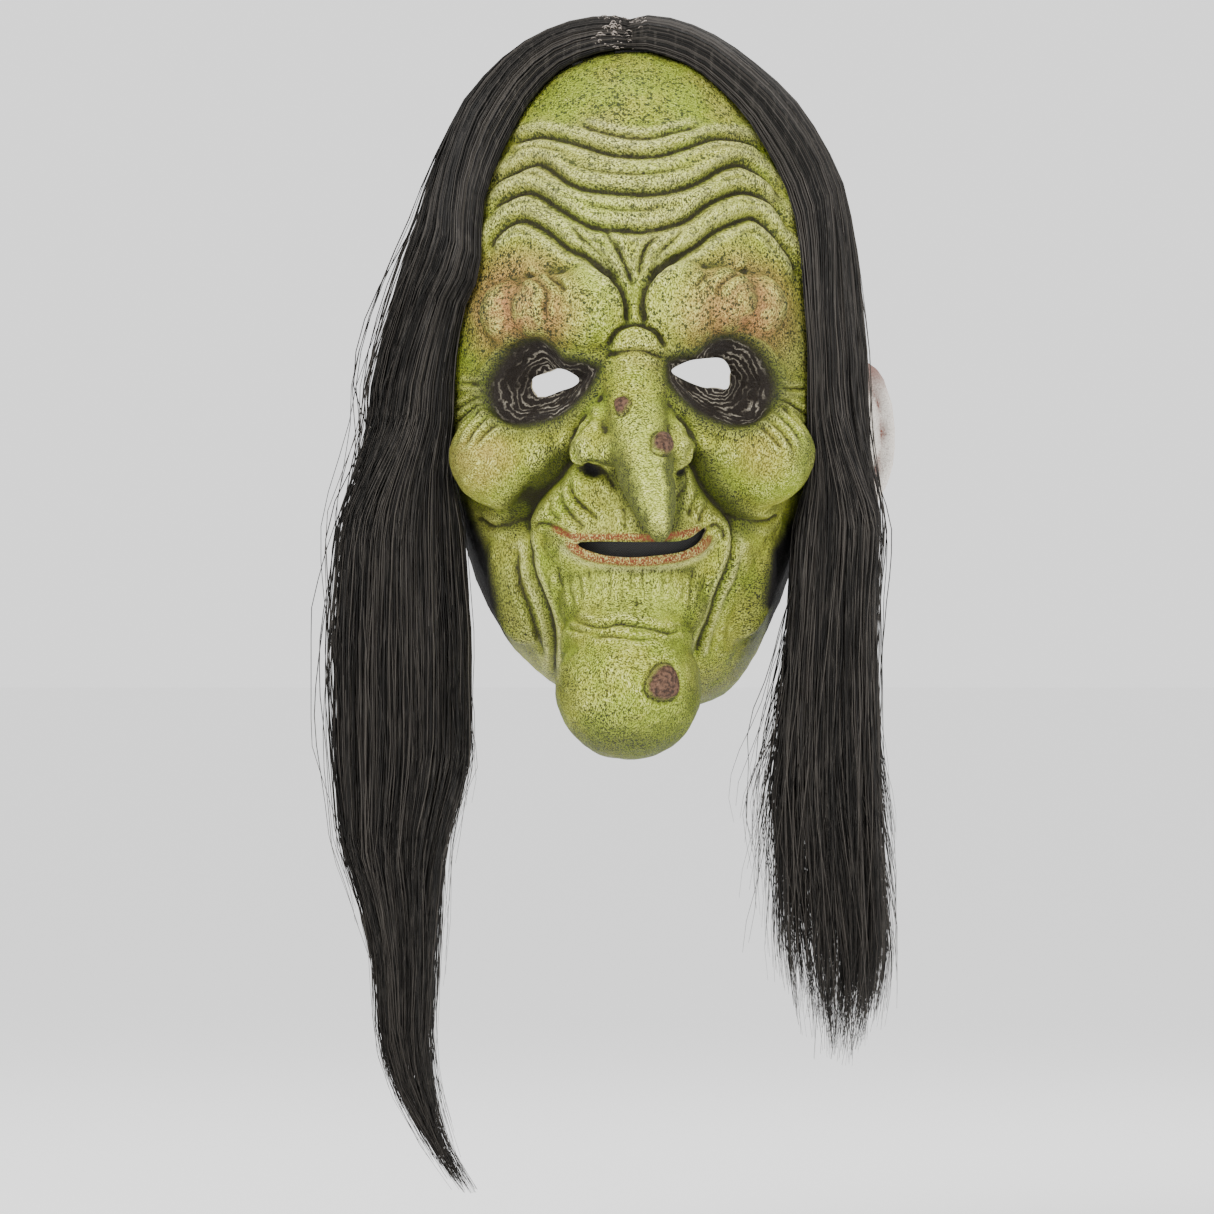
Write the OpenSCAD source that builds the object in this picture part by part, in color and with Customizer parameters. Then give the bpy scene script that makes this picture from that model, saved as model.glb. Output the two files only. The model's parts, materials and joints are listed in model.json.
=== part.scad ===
// Latex crone mask with long hair, as worn: a cast latex shell that is open at the back,
// a mouth slot backed with gauze, an elastic head strap on two rivets, and hair wefts that
// are sewn to a parting tape on the crown and hang down both sides as loose locks.
// Millimetres. +Z is up and the face looks along -Y. The origin is the middle of the
// wearer's head, level with the eye holes.

/* [Latex shell] */
// Half the width of the shell at the temples
head_half_w = 84; // [80:1:90]
// Height of the crown above the eye line
head_top = 138; // [130:1:146]
// Depth of the jaw below the eye line, without the chin ball
jaw_depth = 130; // [124:1:136]
// Distance from the middle of the head to the forehead
face_depth = 95; // [90:1:100]
// How far the side walls run back behind the middle of the head
side_back = 38; // [32:1:44]
// Thickness of the latex
latex_t = 2.4; // [1.6:0.2:3]

/* [Face] */
// Distance between the middles of the eye holes
eye_spacing = 58; // [56:1:66]
// Width of an eye hole
eye_w = 24; // [20:1:28]
// Height of an eye hole
eye_h = 12; // [9:1:14]
// How far the nose stands out from the face
nose_out = 44; // [30:1:50]
// Radius of the chin ball
chin_r = 29; // [24:1:32]
// Width of the mouth slot
mouth_w = 54; // [44:1:60]
// Height of the mouth slot
mouth_h = 7; // [6:0.5:8]

/* [Hair] */
// Thickness of the hair where it lies on the shell
hair_t = 9; // [6:0.5:12]
// Width of the parting tape
tape_w = 14; // [12:1:18]
// How far below the eye line the glued hair ends and the loose locks begin
lock_top = 40; // [38:1:44]

/* [Head strap] */
// Width of the elastic
strap_w = 20; // [16:1:24]
// Thickness of the elastic
strap_t = 1.5; // [1:0.1:2]
// Radius of a rivet's shank
rivet_r = 2; // [1.5:0.1:2.5]
// Radius of a rivet's cap
rivet_cap_r = 4.5; // [4:0.5:6]

/* [Hidden] */

LEFT = -1;
RIGHT = 1;

// ---- Helpers ----
function mix(a, b, t) = a + (b - a) * t;
function limit01(t) = max(0, min(1, t));
function ease(t) = let (c = limit01(t)) c * c * (3 - 2 * c);
function bell(d) = exp(-d * d);
function unit(v) = v / norm(v);

// A closed skin over rows of points: cap the first and last row, and close each row on itself.
module tube_of_rings(rings) {
    n = len(rings[0]);
    m = len(rings);
    points = [for (ring = rings) for (p = ring) p];
    sides = [for (i = [0:m - 2]) for (j = [0:n - 1]) let (k = (j + 1) % n)
             each [[i * n + j, (i + 1) * n + j, i * n + k],
                   [i * n + k, (i + 1) * n + j, (i + 1) * n + k]]];
    first = [for (j = [0:n - 1]) j];
    last = [for (j = [n - 1:-1:0]) (m - 1) * n + j];
    polyhedron(points, concat([first, last], sides), convexity = 6);
}

// A sheet between an outer and an inner grid of the same size. flip turns its faces round.
module sheet_between(outer, inner, flip) {
    rows = len(outer);
    cols = len(outer[0]);
    both = rows * cols;
    points = concat([for (r = outer) for (p = r) p], [for (r = inner) for (p = r) p]);
    cells = [for (i = [0:rows - 2]) for (j = [0:cols - 2]) i * cols + j];
    top = [for (a = cells) each [[a, a + 1, a + cols], [a + 1, a + cols + 1, a + cols]]];
    under = [for (f = top) [f[2] + both, f[1] + both, f[0] + both]];
    edge = concat([for (j = [0:cols - 1]) j],
                  [for (i = [1:rows - 1]) i * cols + cols - 1],
                  [for (j = [cols - 2:-1:0]) (rows - 1) * cols + j],
                  [for (i = [rows - 2:-1:1]) i * cols]);
    rim = [for (k = [0:len(edge) - 1]) let (a = edge[k], b = edge[(k + 1) % len(edge)])
           each [[a, a + both, b], [b, a + both, b + both]]];
    faces = concat(top, under, rim);
    polyhedron(points, flip ? [for (f = faces) [f[2], f[1], f[0]]] : faces, convexity = 6);
}

// ---- Shape of the head ----
JAW_POWER = 2.6;     // how square the jaw is in outline
JAW_TAPER = 0.13;    // share of its width that the jaw loses
FLATNESS = 0.8;      // under 1 makes the face flatter than an ellipsoid
function height_at(u) = u >= 0 ? head_top * u : -jaw_depth * pow(-u, 2 / JAW_POWER);
function half_width(z) = head_half_w * (1 - JAW_TAPER * ease(-z / 60));

// Swellings and hollows of the face: [x, z, half width, half height, how far they stand out].
MID_RELIEF = [[0, 17, 10, 8, 6], [0, -70, 32, 18, 9], [0, -96, 26, 22, 12]];
PAIR_RELIEF = [[31, 29, 21, 11, 7], [36, -1, 17, 11, -13], [51, -30, 17, 15, 9],
               [34, -47, 9, 14, -5], [40, -88, 14, 26, 4]];
function swell(b, x, z) = b[4] * bell((x - b[0]) / b[2]) * bell((z - b[1]) / b[3]);
function relief(x, z) =
    let (mids = [for (b = MID_RELIEF) swell(b, x, z)],
         pairs = [for (b = PAIR_RELIEF) swell(b, abs(x), z)])
    mids * [for (b = mids) 1] + pairs * [for (b = pairs) 1];

// The nose: a ridge that grows from the bridge to the tip and leans to one side.
NOSE_ROOT = 14;      // height of the bridge
NOSE_END = -50;      // height of the tip before it droops
NOSE_LEAN = 8;       // sideways lean of the tip
NOSE_DROOP = 10;     // how far the tip hooks down
function nose_share(z) = limit01((NOSE_ROOT - z) / (NOSE_ROOT - NOSE_END));
function nose_x(z) = NOSE_LEAN * ease(nose_share(z));
function nose_height(z) = nose_out * pow(nose_share(z), 1.15) * ease((z - NOSE_END + 9) / 9);
function nose_ridge(x, z) =
    let (spread = mix(8, 11, nose_share(z)), d = abs(x - nose_x(z)) / spread)
    nose_height(z) * exp(-pow(d, 2.2))
    + 9 * bell((abs(x - nose_x(z) * 0.4) - 15) / 7) * bell((z + 33) / 9);

// The chin ball: the skin round an axis that points forward and down is wrapped onto a ball.
CHIN_MIDDLE = [0, -86, -122];
CHIN_AIM = [0, -0.8, -0.6];
CHIN_WRAP = 112;     // how far round the ball the skin reaches, in degrees from its tip
function chin_wrap(p) =
    let (away = p - CHIN_MIDDLE, side = away - (away * CHIN_AIM) * CHIN_AIM, d = norm(side),
         turn = min(d / chin_r, 1.2) * CHIN_WRAP,
         on_ball = CHIN_MIDDLE + chin_r * (cos(turn) * CHIN_AIM + sin(turn) * side / max(d, 0.01)))
    mix(p, on_ball, 1 - ease((d / chin_r - 0.75) / 0.5));

// A point of the outer surface. rho runs from 0 at the nose, through 90 at the widest
// outline, to the rear edge; phi runs round the face from the right.
BACK_PER_DEG = 1.6;  // length of side wall for each degree of rho past 90
function skin_point(rho, phi) =
    let (r = min(rho, 90), z = height_at(sin(r) * sin(phi)),
         x = half_width(z) * sin(r) * cos(phi),
         nose = nose_ridge(x, z),
         y = -face_depth * pow(max(cos(r), 0), FLATNESS) - relief(x, z) * cos(r) - nose
             + max(rho - 90, 0) * BACK_PER_DEG)
    chin_wrap([x, y, z - NOSE_DROOP * pow(nose / nose_out, 2)]);
function rear_edge(phi) = mix(82, 90 + side_back / BACK_PER_DEG, ease((sin(phi) + 0.85) / 0.8));

SKIN_RINGS = 30;
SKIN_SECTORS = 56;
FIRST_RING = 0.02;   // the first ring, as a share of the way out from the nose
function skin_at(i, j) =
    let (phi = 360 * j / SKIN_SECTORS, share = mix(FIRST_RING, 1, i / SKIN_RINGS))
    skin_point(share * rear_edge(phi), phi);
function inward(i, j) =
    let (di = skin_at(min(i + 1, SKIN_RINGS), j) - skin_at(max(i - 1, 0), j),
         dj = skin_at(i, j + 1) - skin_at(i, j - 1))
    unit(cross(dj, di));

module bare_shell() {
    inner = [for (i = [0:SKIN_RINGS]) [for (j = [0:SKIN_SECTORS - 1])
             skin_at(i, j) + latex_t * inward(i, j)]];
    outer = [for (i = [SKIN_RINGS:-1:0]) [for (j = [0:SKIN_SECTORS - 1]) skin_at(i, j)]];
    tube_of_rings(concat(inner, outer));
}

module ear(side) {
    translate([side * (head_half_w - 1), 0, -20]) hull() {
        translate([side * 20, 11, 20]) sphere(r = 5, $fn = 18);
        translate([side * 19, 9, 0]) sphere(r = 5, $fn = 18);
        translate([side, 0, 24]) sphere(r = 5, $fn = 18);
        translate([side, 0, -26]) sphere(r = 5, $fn = 18);
    }
}

// Straight cutters through the face, along Y.
EYE_SHIFT = -1.5;        // both eye holes lie a little to the left
EYE_LIFT = 3.5;          // and the right one a little higher
module eye_cutter(side) {
    end_r = eye_h * 0.3;
    lift = side == RIGHT ? EYE_LIFT : 0;
    translate([side * eye_spacing / 2 + EYE_SHIFT, -60, lift]) rotate([90, 0, 0]) hull() {
        translate([side * eye_w * 0.12, 0.5, 0]) cylinder(r = eye_h / 2, h = 60, $fn = 32);
        translate([-side * (eye_w / 2 - end_r), -1, 0]) cylinder(r = end_r, h = 60, $fn = 24);
        translate([side * (eye_w / 2 - end_r), 0.5, 0]) cylinder(r = end_r, h = 60, $fn = 24);
    }
}
MOUTH_AT = [3, -66];     // middle of the slot, x and z
MOUTH_CURL = 4;          // how far the slot's ends turn up
module mouth_cutter() {
    r = mouth_h / 2;
    module hole(share) {
        translate([MOUTH_AT[0] + share * (mouth_w / 2 - r), -84, MOUTH_AT[1] + MOUTH_CURL * share * share])
            rotate([90, 0, 0]) cylinder(r = r * (1 - 0.25 * abs(share)), h = 60, $fn = 24);
    }
    for (share = [-1, -0.5, 0, 0.5]) hull() {
        hole(share);
        hole(share + 0.5);
    }
}

RIVET_Y = 25;            // rivets behind the ears, on the side walls
RIVET_Z = 4;
module latex_skin() color("yellowgreen") difference() {
    union() {
        bare_shell();
        for (side = [LEFT, RIGHT]) difference() {
            ear(side);
            translate([side * (head_half_w / 2 - 1.4), 0, 0])
                cube([head_half_w, 200, 200], center = true);
        }
    }
    for (side = [LEFT, RIGHT]) {
        eye_cutter(side);
        translate([0, RIVET_Y, RIVET_Z]) rotate([0, 90 * side, 0])
            cylinder(r = rivet_r, h = head_half_w + 5, $fn = 32);
    }
    mouth_cutter();
}

// ---- Gauze behind the mouth slot ----
GAUZE_W = 68;
GAUZE_H = 20;
GAUZE_T = 0.6;
GAUZE_GAP = 0.9;         // room between the latex and the gauze
function face_y(x, z) =
    let (u2 = pow(-z / jaw_depth, JAW_POWER) + pow(x / half_width(z), 2), c = sqrt(max(1 - u2, 0)))
    -face_depth * pow(c, FLATNESS) - relief(x, z) * c;
module mouth_gauze() {
    steps = 12;
    function row(x, deep) = [for (j = [-2:2]) let (z = MOUTH_AT[1] - 1 + GAUZE_H / 4 * j)
                             [x, face_y(x, z) + latex_t * 1.25 + GAUZE_GAP + deep, z]];
    grid_x = [for (i = [0:steps]) MOUTH_AT[0] + GAUZE_W * (i / steps - 0.5)];
    color("dimgray")
        sheet_between([for (x = grid_x) row(x, 0)], [for (x = grid_x) row(x, GAUZE_T)], false);
}

// ---- Hair on the crown ----
HAIR_GAP = 1.7;          // the hair's own backing, glue and parting tape lie in this gap
LEFT_FLUFF = 20;         // how much thicker the hair grows on its way down to the left ear
RIGHT_FLUFF = 7;         // and to the right ear
function crown_share(y, h) = y >= 0 ? 1 : sqrt(1 - pow(pow(-y / (face_depth + h), 1 / FLATNESS), 2));
// psi is 0 on the parting and 90 at the ear; h is the height above the latex.
function crown_point(side, psi, y, h) =
    let (k = crown_share(y, h), a = min(psi, 90))
    [side * (head_half_w + h) * k * sin(a), y, (head_top + h) * k * cos(a) - max(psi - 90, 0) / 10];

PARTING_FRONT = -42;
PARTING_MIDDLE = -8;
PARTING_REAR = 30;
EAR_FRONT = -62;         // the same three lines at the level of the ear
EAR_MIDDLE = -38;
EAR_REAR = -17;
WEFT_ROWS = 14;
WEFT_COLS = 5;
WEFT_SPLIT = 0.8;        // room between the front and the rear weft
module weft(side, y_top, y_ear) {
    fluff = side == LEFT ? LEFT_FLUFF : RIGHT_FLUFF;
    function psi_at(i) = i <= WEFT_ROWS ? mix(0.6, 90, i / WEFT_ROWS) : 90 + lock_top * 10;
    function grid(h, more) = [for (i = [0:WEFT_ROWS + 1]) [for (j = [0:WEFT_COLS])
        let (s = ease(i / WEFT_ROWS), grow = ease((i / (WEFT_ROWS + 1) - 0.5) / 0.5),
             y = mix(mix(y_top[0], y_ear[0], s), mix(y_top[1], y_ear[1], s), j / WEFT_COLS))
        crown_point(side, psi_at(i), y, h) + [side * more * grow, 0, 0]]];
    sheet_between(grid(hair_t, fluff), grid(HAIR_GAP, 0), side == LEFT);
}
module weft_front(side) color("black")
    weft(side, [PARTING_FRONT, PARTING_MIDDLE - WEFT_SPLIT / 2], [EAR_FRONT, EAR_MIDDLE - WEFT_SPLIT / 2]);
module weft_rear(side) color("black")
    weft(side, [PARTING_MIDDLE + WEFT_SPLIT / 2, PARTING_REAR], [EAR_MIDDLE + WEFT_SPLIT / 2, EAR_REAR]);

// A narrow sewn track that holds the wefts' roots, under the hair on each side.
SEAM_T = 0.8;
SEAM_GAP = 0.3;          // glue under the track and under the parting tape
SEAM_PSI = [14, 17];     // where it lies, in degrees from the parting
module weft_seam(side) {
    ys = [for (i = [0:10]) mix(PARTING_FRONT + 3, PARTING_REAR - 2, i / 10)];
    function row(y, h) = [for (psi = SEAM_PSI) crown_point(side, psi, y, h)];
    color("dimgray")
        sheet_between([for (y = ys) row(y, SEAM_GAP + SEAM_T)], [for (y = ys) row(y, SEAM_GAP)], side == RIGHT);
}

// ---- Parting tape and its stitches ----
TAPE_T = 1;
module parting_tape() {
    ys = [for (i = [0:12]) mix(PARTING_FRONT, PARTING_REAR, i / 12)];
    function row(y, h) = [for (x = [-2:2]) let (psi = asin(x / 4 * tape_w / head_half_w))
                          crown_point(RIGHT, psi, y, h)];
    color("gray")
        sheet_between([for (y = ys) row(y, SEAM_GAP + TAPE_T)], [for (y = ys) row(y, SEAM_GAP)], true);
}
STITCH_R = 0.45;
STITCH_LENGTH = 9;
STITCH_COUNT = 14;
module parting_stitches() color("lightgray")
    for (i = [0:STITCH_COUNT - 1]) {
        y = mix(PARTING_FRONT + 3, PARTING_REAR - 3, i / (STITCH_COUNT - 1));
        p = crown_point(RIGHT, 0, y, hair_t + STITCH_R + 0.1);
        translate([-STITCH_LENGTH / 2, y, p[2]]) rotate([0, 90, 0])
            cylinder(r = STITCH_R, h = STITCH_LENGTH, $fn = 16);
    }

// ---- Loose locks ----
// Each row is the height, the middle and the half width of the lock as seen from the front.
LEFT_LOCK = [[-44, -92, 19], [-70, -90, 23], [-100, -90, 24], [-150, -91, 24], [-186, -95, 18],
             [-230, -91, 10], [-262, -91, 8], [-282, -87, 6], [-310, -75, 4], [-324, -66, 2]];
RIGHT_LOCK = [[-44, 83, 13], [-86, 80, 15], [-126, 79, 17], [-166, 78, 19], [-226, 81, 18],
              [-250, 80, 13], [-266, 81, 8], [-272, 82, 4]];
LOCK_Y = -42;            // middle of both locks, front to back
LOCK_PIVOT_Z = -62;      // the swing's axis
LOCK_HALF_Y = 18;
LOCK_SIDES = 12;
LOCK_RINGS = 22;
function column(table, k) = [for (row = table) [row[0], row[k]]];
module lock(table, half) {
    top = table[0][0];
    bottom = table[len(table) - 1][0];
    function half_y(z) =
        let (above = max(z - LOCK_PIVOT_Z, 0), thin = lookup(z, column(table, 2)) / table[2][2])
        sqrt(LOCK_HALF_Y * LOCK_HALF_Y - above * above) * mix(0.25, 1, limit01(thin * 1.2));
    function ring(z) = [for (j = [0:LOCK_SIDES - 1])
        let (a = 360 * j / LOCK_SIDES, hy = half_y(z) / 2)
        [lookup(z, column(table, 1)) + lookup(z, column(table, 2)) * cos(a),
         LOCK_Y + half * (hy + 0.3) + (hy - 0.1) * sin(a), z]];
    tube_of_rings([for (i = [LOCK_RINGS:-1:0]) ring(mix(top, bottom, i / LOCK_RINGS))]);
}
module lock_left(half) color("black") lock(LEFT_LOCK, half);
module lock_right(half) color("black") lock(RIGHT_LOCK, half);
FRONT = -1;
REAR = 1;

// ---- Head strap: an elastic band that hangs from, and swings on, two rivets ----
PATCH_R = 11;
PATCH_GAP = 1.3;         // room between the curved latex wall and the flat patch
PATCH_T = 1;
SIDE_GAP = 0.3;          // room on each face of the band
RUNNING_GAP = 0.06;      // room between a rivet's shank and the band's eyelet
WASHER_T = 0.8;
CAP_T = 1.4;
patch_out = head_half_w - latex_t - PATCH_GAP;
band_out = patch_out - PATCH_T - SIDE_GAP;
band_in = band_out - strap_t;
washer_out = band_in - SIDE_GAP;
EYELET_TAB = 9;          // length of band above the rivet

module on_rivet() translate([0, RIVET_Y, RIVET_Z]) children();
module along_x(x0, x1, r) translate([min(x0, x1), 0, 0]) rotate([0, 90, 0])
    cylinder(r = r, h = abs(x1 - x0), $fn = 48);

module elastic_strap() color("black") on_rivet() difference() {
    union() {
        intersection() {
            rotate([90, 0, 0]) difference() {
                cylinder(r = band_out, h = strap_w, center = true, $fn = 96);
                cylinder(r = band_in, h = strap_w + 2, center = true, $fn = 96);
            }
            translate([0, 0, -head_half_w]) cube(2 * head_half_w, center = true);
        }
        for (side = [LEFT, RIGHT])
            translate([side * (band_in + band_out) / 2, 0, EYELET_TAB / 2])
                cube([strap_t, strap_w, EYELET_TAB], center = true);
    }
    along_x(-head_half_w, head_half_w, rivet_r + RUNNING_GAP);
}
module strap_patch(side) color("darkslategray") on_rivet() difference() {
    along_x(side * (patch_out - PATCH_T), side * patch_out, PATCH_R);
    along_x(side * (patch_out - 5), side * (patch_out + 5), rivet_r);
}
module strap_rivet(side) color("silver") on_rivet() {
    along_x(side * (head_half_w + 0.1), side * (head_half_w + 0.1 + CAP_T), rivet_cap_r);
    along_x(side * (washer_out - WASHER_T), side * (head_half_w + 0.2), rivet_r);
    along_x(side * (washer_out - WASHER_T - CAP_T), side * (washer_out - WASHER_T), rivet_r + 1.2);
}
module rivet_washer(side) color("silver") on_rivet() difference() {
    along_x(side * (washer_out - WASHER_T), side * washer_out, rivet_cap_r);
    along_x(side * (washer_out - 5), side * (washer_out + 5), rivet_r);
}

latex_skin();
mouth_gauze();
parting_tape();
parting_stitches();
weft_front(LEFT);  // weft_left_front
weft_rear(LEFT);  // weft_left_rear
weft_front(RIGHT);  // weft_right_front
weft_rear(RIGHT);  // weft_right_rear
weft_seam(LEFT);  // weft_seam_left
weft_seam(RIGHT);  // weft_seam_right
lock_left(FRONT);  // lock_left_front
lock_left(REAR);  // lock_left_rear
lock_right(FRONT);  // lock_right_front
lock_right(REAR);  // lock_right_rear
elastic_strap();
strap_patch(LEFT);  // strap_patch_left
strap_patch(RIGHT);  // strap_patch_right
strap_rivet(LEFT);  // strap_rivet_left
strap_rivet(RIGHT);  // strap_rivet_right
rivet_washer(LEFT);  // rivet_washer_left
rivet_washer(RIGHT);  // rivet_washer_right
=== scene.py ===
import json
import math

import bmesh
import bpy
import numpy as np
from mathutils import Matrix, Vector, noise
from mathutils.bvhtree import BVHTree

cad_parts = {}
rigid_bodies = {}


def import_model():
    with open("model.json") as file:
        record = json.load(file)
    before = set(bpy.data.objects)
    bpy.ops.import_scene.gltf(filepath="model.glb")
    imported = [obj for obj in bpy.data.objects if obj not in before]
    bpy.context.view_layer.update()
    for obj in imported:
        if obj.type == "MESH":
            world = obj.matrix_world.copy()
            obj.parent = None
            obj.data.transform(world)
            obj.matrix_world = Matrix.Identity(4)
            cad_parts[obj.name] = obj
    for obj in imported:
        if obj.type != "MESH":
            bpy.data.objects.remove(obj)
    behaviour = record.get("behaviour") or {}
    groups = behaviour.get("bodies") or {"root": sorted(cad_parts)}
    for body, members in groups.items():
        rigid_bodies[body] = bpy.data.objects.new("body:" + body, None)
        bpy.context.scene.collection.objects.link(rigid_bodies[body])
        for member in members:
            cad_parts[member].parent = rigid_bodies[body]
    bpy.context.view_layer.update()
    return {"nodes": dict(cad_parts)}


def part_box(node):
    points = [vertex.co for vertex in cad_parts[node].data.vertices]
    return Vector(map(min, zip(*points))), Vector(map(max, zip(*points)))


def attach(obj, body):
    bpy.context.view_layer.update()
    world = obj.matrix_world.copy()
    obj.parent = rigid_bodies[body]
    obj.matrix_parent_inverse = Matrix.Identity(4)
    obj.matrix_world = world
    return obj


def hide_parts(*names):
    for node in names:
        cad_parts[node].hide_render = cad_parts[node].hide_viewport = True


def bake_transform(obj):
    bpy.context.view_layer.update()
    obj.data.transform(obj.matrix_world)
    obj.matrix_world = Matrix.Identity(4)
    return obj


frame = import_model()

# ---------------------------------------------------------------- Camera
# A long lens straight in front of the face, level with the middle of the mask and its hair.
VIEW_MIDDLE = (-0.010, -0.080, -0.0888)
VIEW_WIDTH = 0.482
LENS_MM = 300
SENSOR_MM = 36
bpy.ops.object.camera_add(
    location=(
        VIEW_MIDDLE[0],
        VIEW_MIDDLE[1] - VIEW_WIDTH * LENS_MM / SENSOR_MM,
        VIEW_MIDDLE[2],
    ),
    rotation=(math.pi / 2, 0, 0),
)
camera = bpy.context.object
camera.name = "front_camera"
camera.data.lens = LENS_MM
camera.data.sensor_width = SENSOR_MM
bpy.context.scene.camera = camera


# ---------------------------------------------------------------- Shader maths
# One socket of a material's node tree, with Python's own operators for Math nodes.
class Value:
    def __init__(self, tree, socket):
        self.tree = tree
        self.socket = socket

    def node(self, kind, settings=None, sockets=None, out=0):
        made = self.tree.nodes.new(kind)
        for name, value in (settings or {}).items():
            setattr(made, name, value)
        for name, value in (sockets or {}).items():
            if isinstance(value, Value):
                self.tree.links.new(value.socket, made.inputs[name])
            else:
                made.inputs[name].default_value = value
        return Value(self.tree, made.outputs[out])

    def math(self, operation, *values):
        return self.node("ShaderNodeMath", {"operation": operation}, dict(enumerate(values)))

    def __add__(self, other):
        return self.math("ADD", self, other)

    def __sub__(self, other):
        return self.math("SUBTRACT", self, other)

    def __rsub__(self, other):
        return self.math("SUBTRACT", other, self)

    def __mul__(self, other):
        return self.math("MULTIPLY", self, other)

    def top(self, other):
        return self.math("MAXIMUM", self, other)

    def clamp(self):
        return self.node("ShaderNodeClamp", None, {0: self})

    def ramp(self, low, high):
        """0 below low, 1 above high, and a smooth step between."""
        return self.node(
            "ShaderNodeMapRange",
            {"interpolation_type": "SMOOTHSTEP"},
            {"Value": self, "From Min": low, "From Max": high},
        )

    def between(self, a, b):
        """The colour a where this is 0 and b where it is 1."""
        mix = self.tree.nodes.new("ShaderNodeMix")
        mix.data_type = "RGBA"
        self.tree.links.new(self.socket, mix.inputs["Factor"])
        for name, value in (("A", a), ("B", b)):
            place = [s for s in mix.inputs if s.name == name and s.type == "RGBA"][0]
            if isinstance(value, Value):
                self.tree.links.new(value.socket, place)
            else:
                place.default_value = (*value, 1)
        return Value(self.tree, [s for s in mix.outputs if s.type == "RGBA"][0])

    def stretched(self, x, y, z):
        """These coordinates times a scale for each axis."""
        return self.node(
            "ShaderNodeVectorMath", {"operation": "MULTIPLY"}, {0: self, 1: (x, y, z)}
        )

    def axes(self):
        """The three coordinates on their own."""
        split = self.node("ShaderNodeSeparateXYZ", None, {"Vector": self}).socket.node
        return [Value(self.tree, split.outputs[axis]) for axis in "XYZ"]

    def noise(self, scale, detail=2, roughness=0.5):
        return self.node(
            "ShaderNodeTexNoise",
            None,
            {"Vector": self, "Scale": scale, "Detail": detail, "Roughness": roughness},
        )

    def cells(self, scale, feature="F1"):
        return self.node(
            "ShaderNodeTexVoronoi", {"feature": feature}, {"Vector": self, "Scale": scale}
        )

    def bump(self, distance, strength=1.0):
        return self.node(
            "ShaderNodeBump",
            None,
            {"Height": self, "Distance": distance, "Strength": strength},
        )


def new_finish(name):
    """A material with its Principled shader, the object's own coordinates and its tree."""
    material = bpy.data.materials.new(name)
    material.use_nodes = True
    shader = material.node_tree.nodes["Principled BSDF"]
    start = Value(material.node_tree, None)
    place = start.node("ShaderNodeTexCoord", out="Object")
    return material, shader, place


def wire(shader, **sockets):
    """Values and constants onto a shader's sockets; an underscore stands for a space."""
    for name, value in sockets.items():
        socket = shader.inputs[name.replace("_", " ")]
        if isinstance(value, Value):
            value.tree.links.new(value.socket, socket)
        else:
            socket.default_value = value


# ---------------------------------------------------------------- Floor and light
# A wide pale floor, a white room and three soft lamps.
bpy.ops.mesh.primitive_circle_add(
    vertices=96, radius=30, fill_type="NGON", location=(0, 0, -0.36)
)
floor = bpy.context.object
floor.name = "floor"
bpy.ops.object.transform_apply(location=True, rotation=True, scale=True)
floor_finish, shader, place = new_finish("pale_floor")
wire(shader, Base_Color=(0.93, 0.93, 0.93, 1), Roughness=0.9)
floor.data.materials.append(floor_finish)

world = bpy.data.worlds.new("white_room")
world.use_nodes = True
world.node_tree.nodes["Background"].inputs["Color"].default_value = (1, 1, 1, 1)
world.node_tree.nodes["Background"].inputs["Strength"].default_value = 1.5
bpy.context.scene.world = world

for lamp_name, spot, watts, size in (
    ("key_lamp", (-0.7, -1.3, 1.0), 26, 0.8),
    ("fill_lamp", (1.1, -1.2, 0.25), 9, 1.0),
    ("back_lamp", (0.3, 1.2, 1.1), 12, 0.9),
):
    bpy.ops.object.light_add(type="AREA", location=spot)
    lamp = bpy.context.object
    lamp.name = lamp_name
    lamp.data.energy = watts
    lamp.data.size = size
    aim = Vector((0, -0.05, -0.03)) - Vector(spot)
    lamp.rotation_euler = aim.to_track_quat("-Z", "Y").to_euler()


# ---------------------------------------------------------------- Latex skin
# One hollow casting of rubber latex: face, hooked nose, chin ball, warts, ears and side walls.
# The form is modelled as clay would be, from lumps that are smoothed together, and then
# every fold is pressed in. Lengths in this section are in millimetres.
HEAD_HALF_W = 84
HEAD_TOP = 138
JAW_DEPTH = 130
FACE_DEPTH = 95
JAW_POWER = 2.6
JAW_TAPER = 0.13
FLATNESS = 0.8
CLAY_GRAIN = 1.15  # spacing of the finished mesh
WALL = 2.2


def ease(t):
    t = np.clip(t, 0, 1)
    return t * t * (3 - 2 * t)


def bell(d):
    return np.exp(-d * d)


def mix(a, b, t):
    return a + (b - a) * t


def half_width(z):
    return HEAD_HALF_W * (1 - JAW_TAPER * ease(-z / 60))


def choose(piece):
    """Makes this the only selected piece, and the active one."""
    bpy.ops.object.select_all(action="DESELECT")
    piece.select_set(True)
    bpy.context.view_layer.objects.active = piece


def turn_outward(piece):
    """Turns every face of a piece to the outside."""
    choose(piece)
    bpy.ops.object.mode_set(mode="EDIT")
    bpy.ops.mesh.select_all(action="SELECT")
    bpy.ops.mesh.normals_make_consistent(inside=False)
    bpy.ops.object.mode_set(mode="OBJECT")


def points_of(piece):
    co = np.empty(len(piece.data.vertices) * 3)
    piece.data.vertices.foreach_get("co", co)
    return co.reshape(-1, 3)


def set_points(piece, co):
    piece.data.vertices.foreach_set("co", np.asarray(co, np.float32).ravel())
    piece.data.update()


def normals_of(piece):
    n = np.empty(len(piece.data.vertices) * 3, np.float32)
    piece.data.vertex_normals.foreach_get("vector", n)
    return n.reshape(-1, 3).astype(float)


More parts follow.
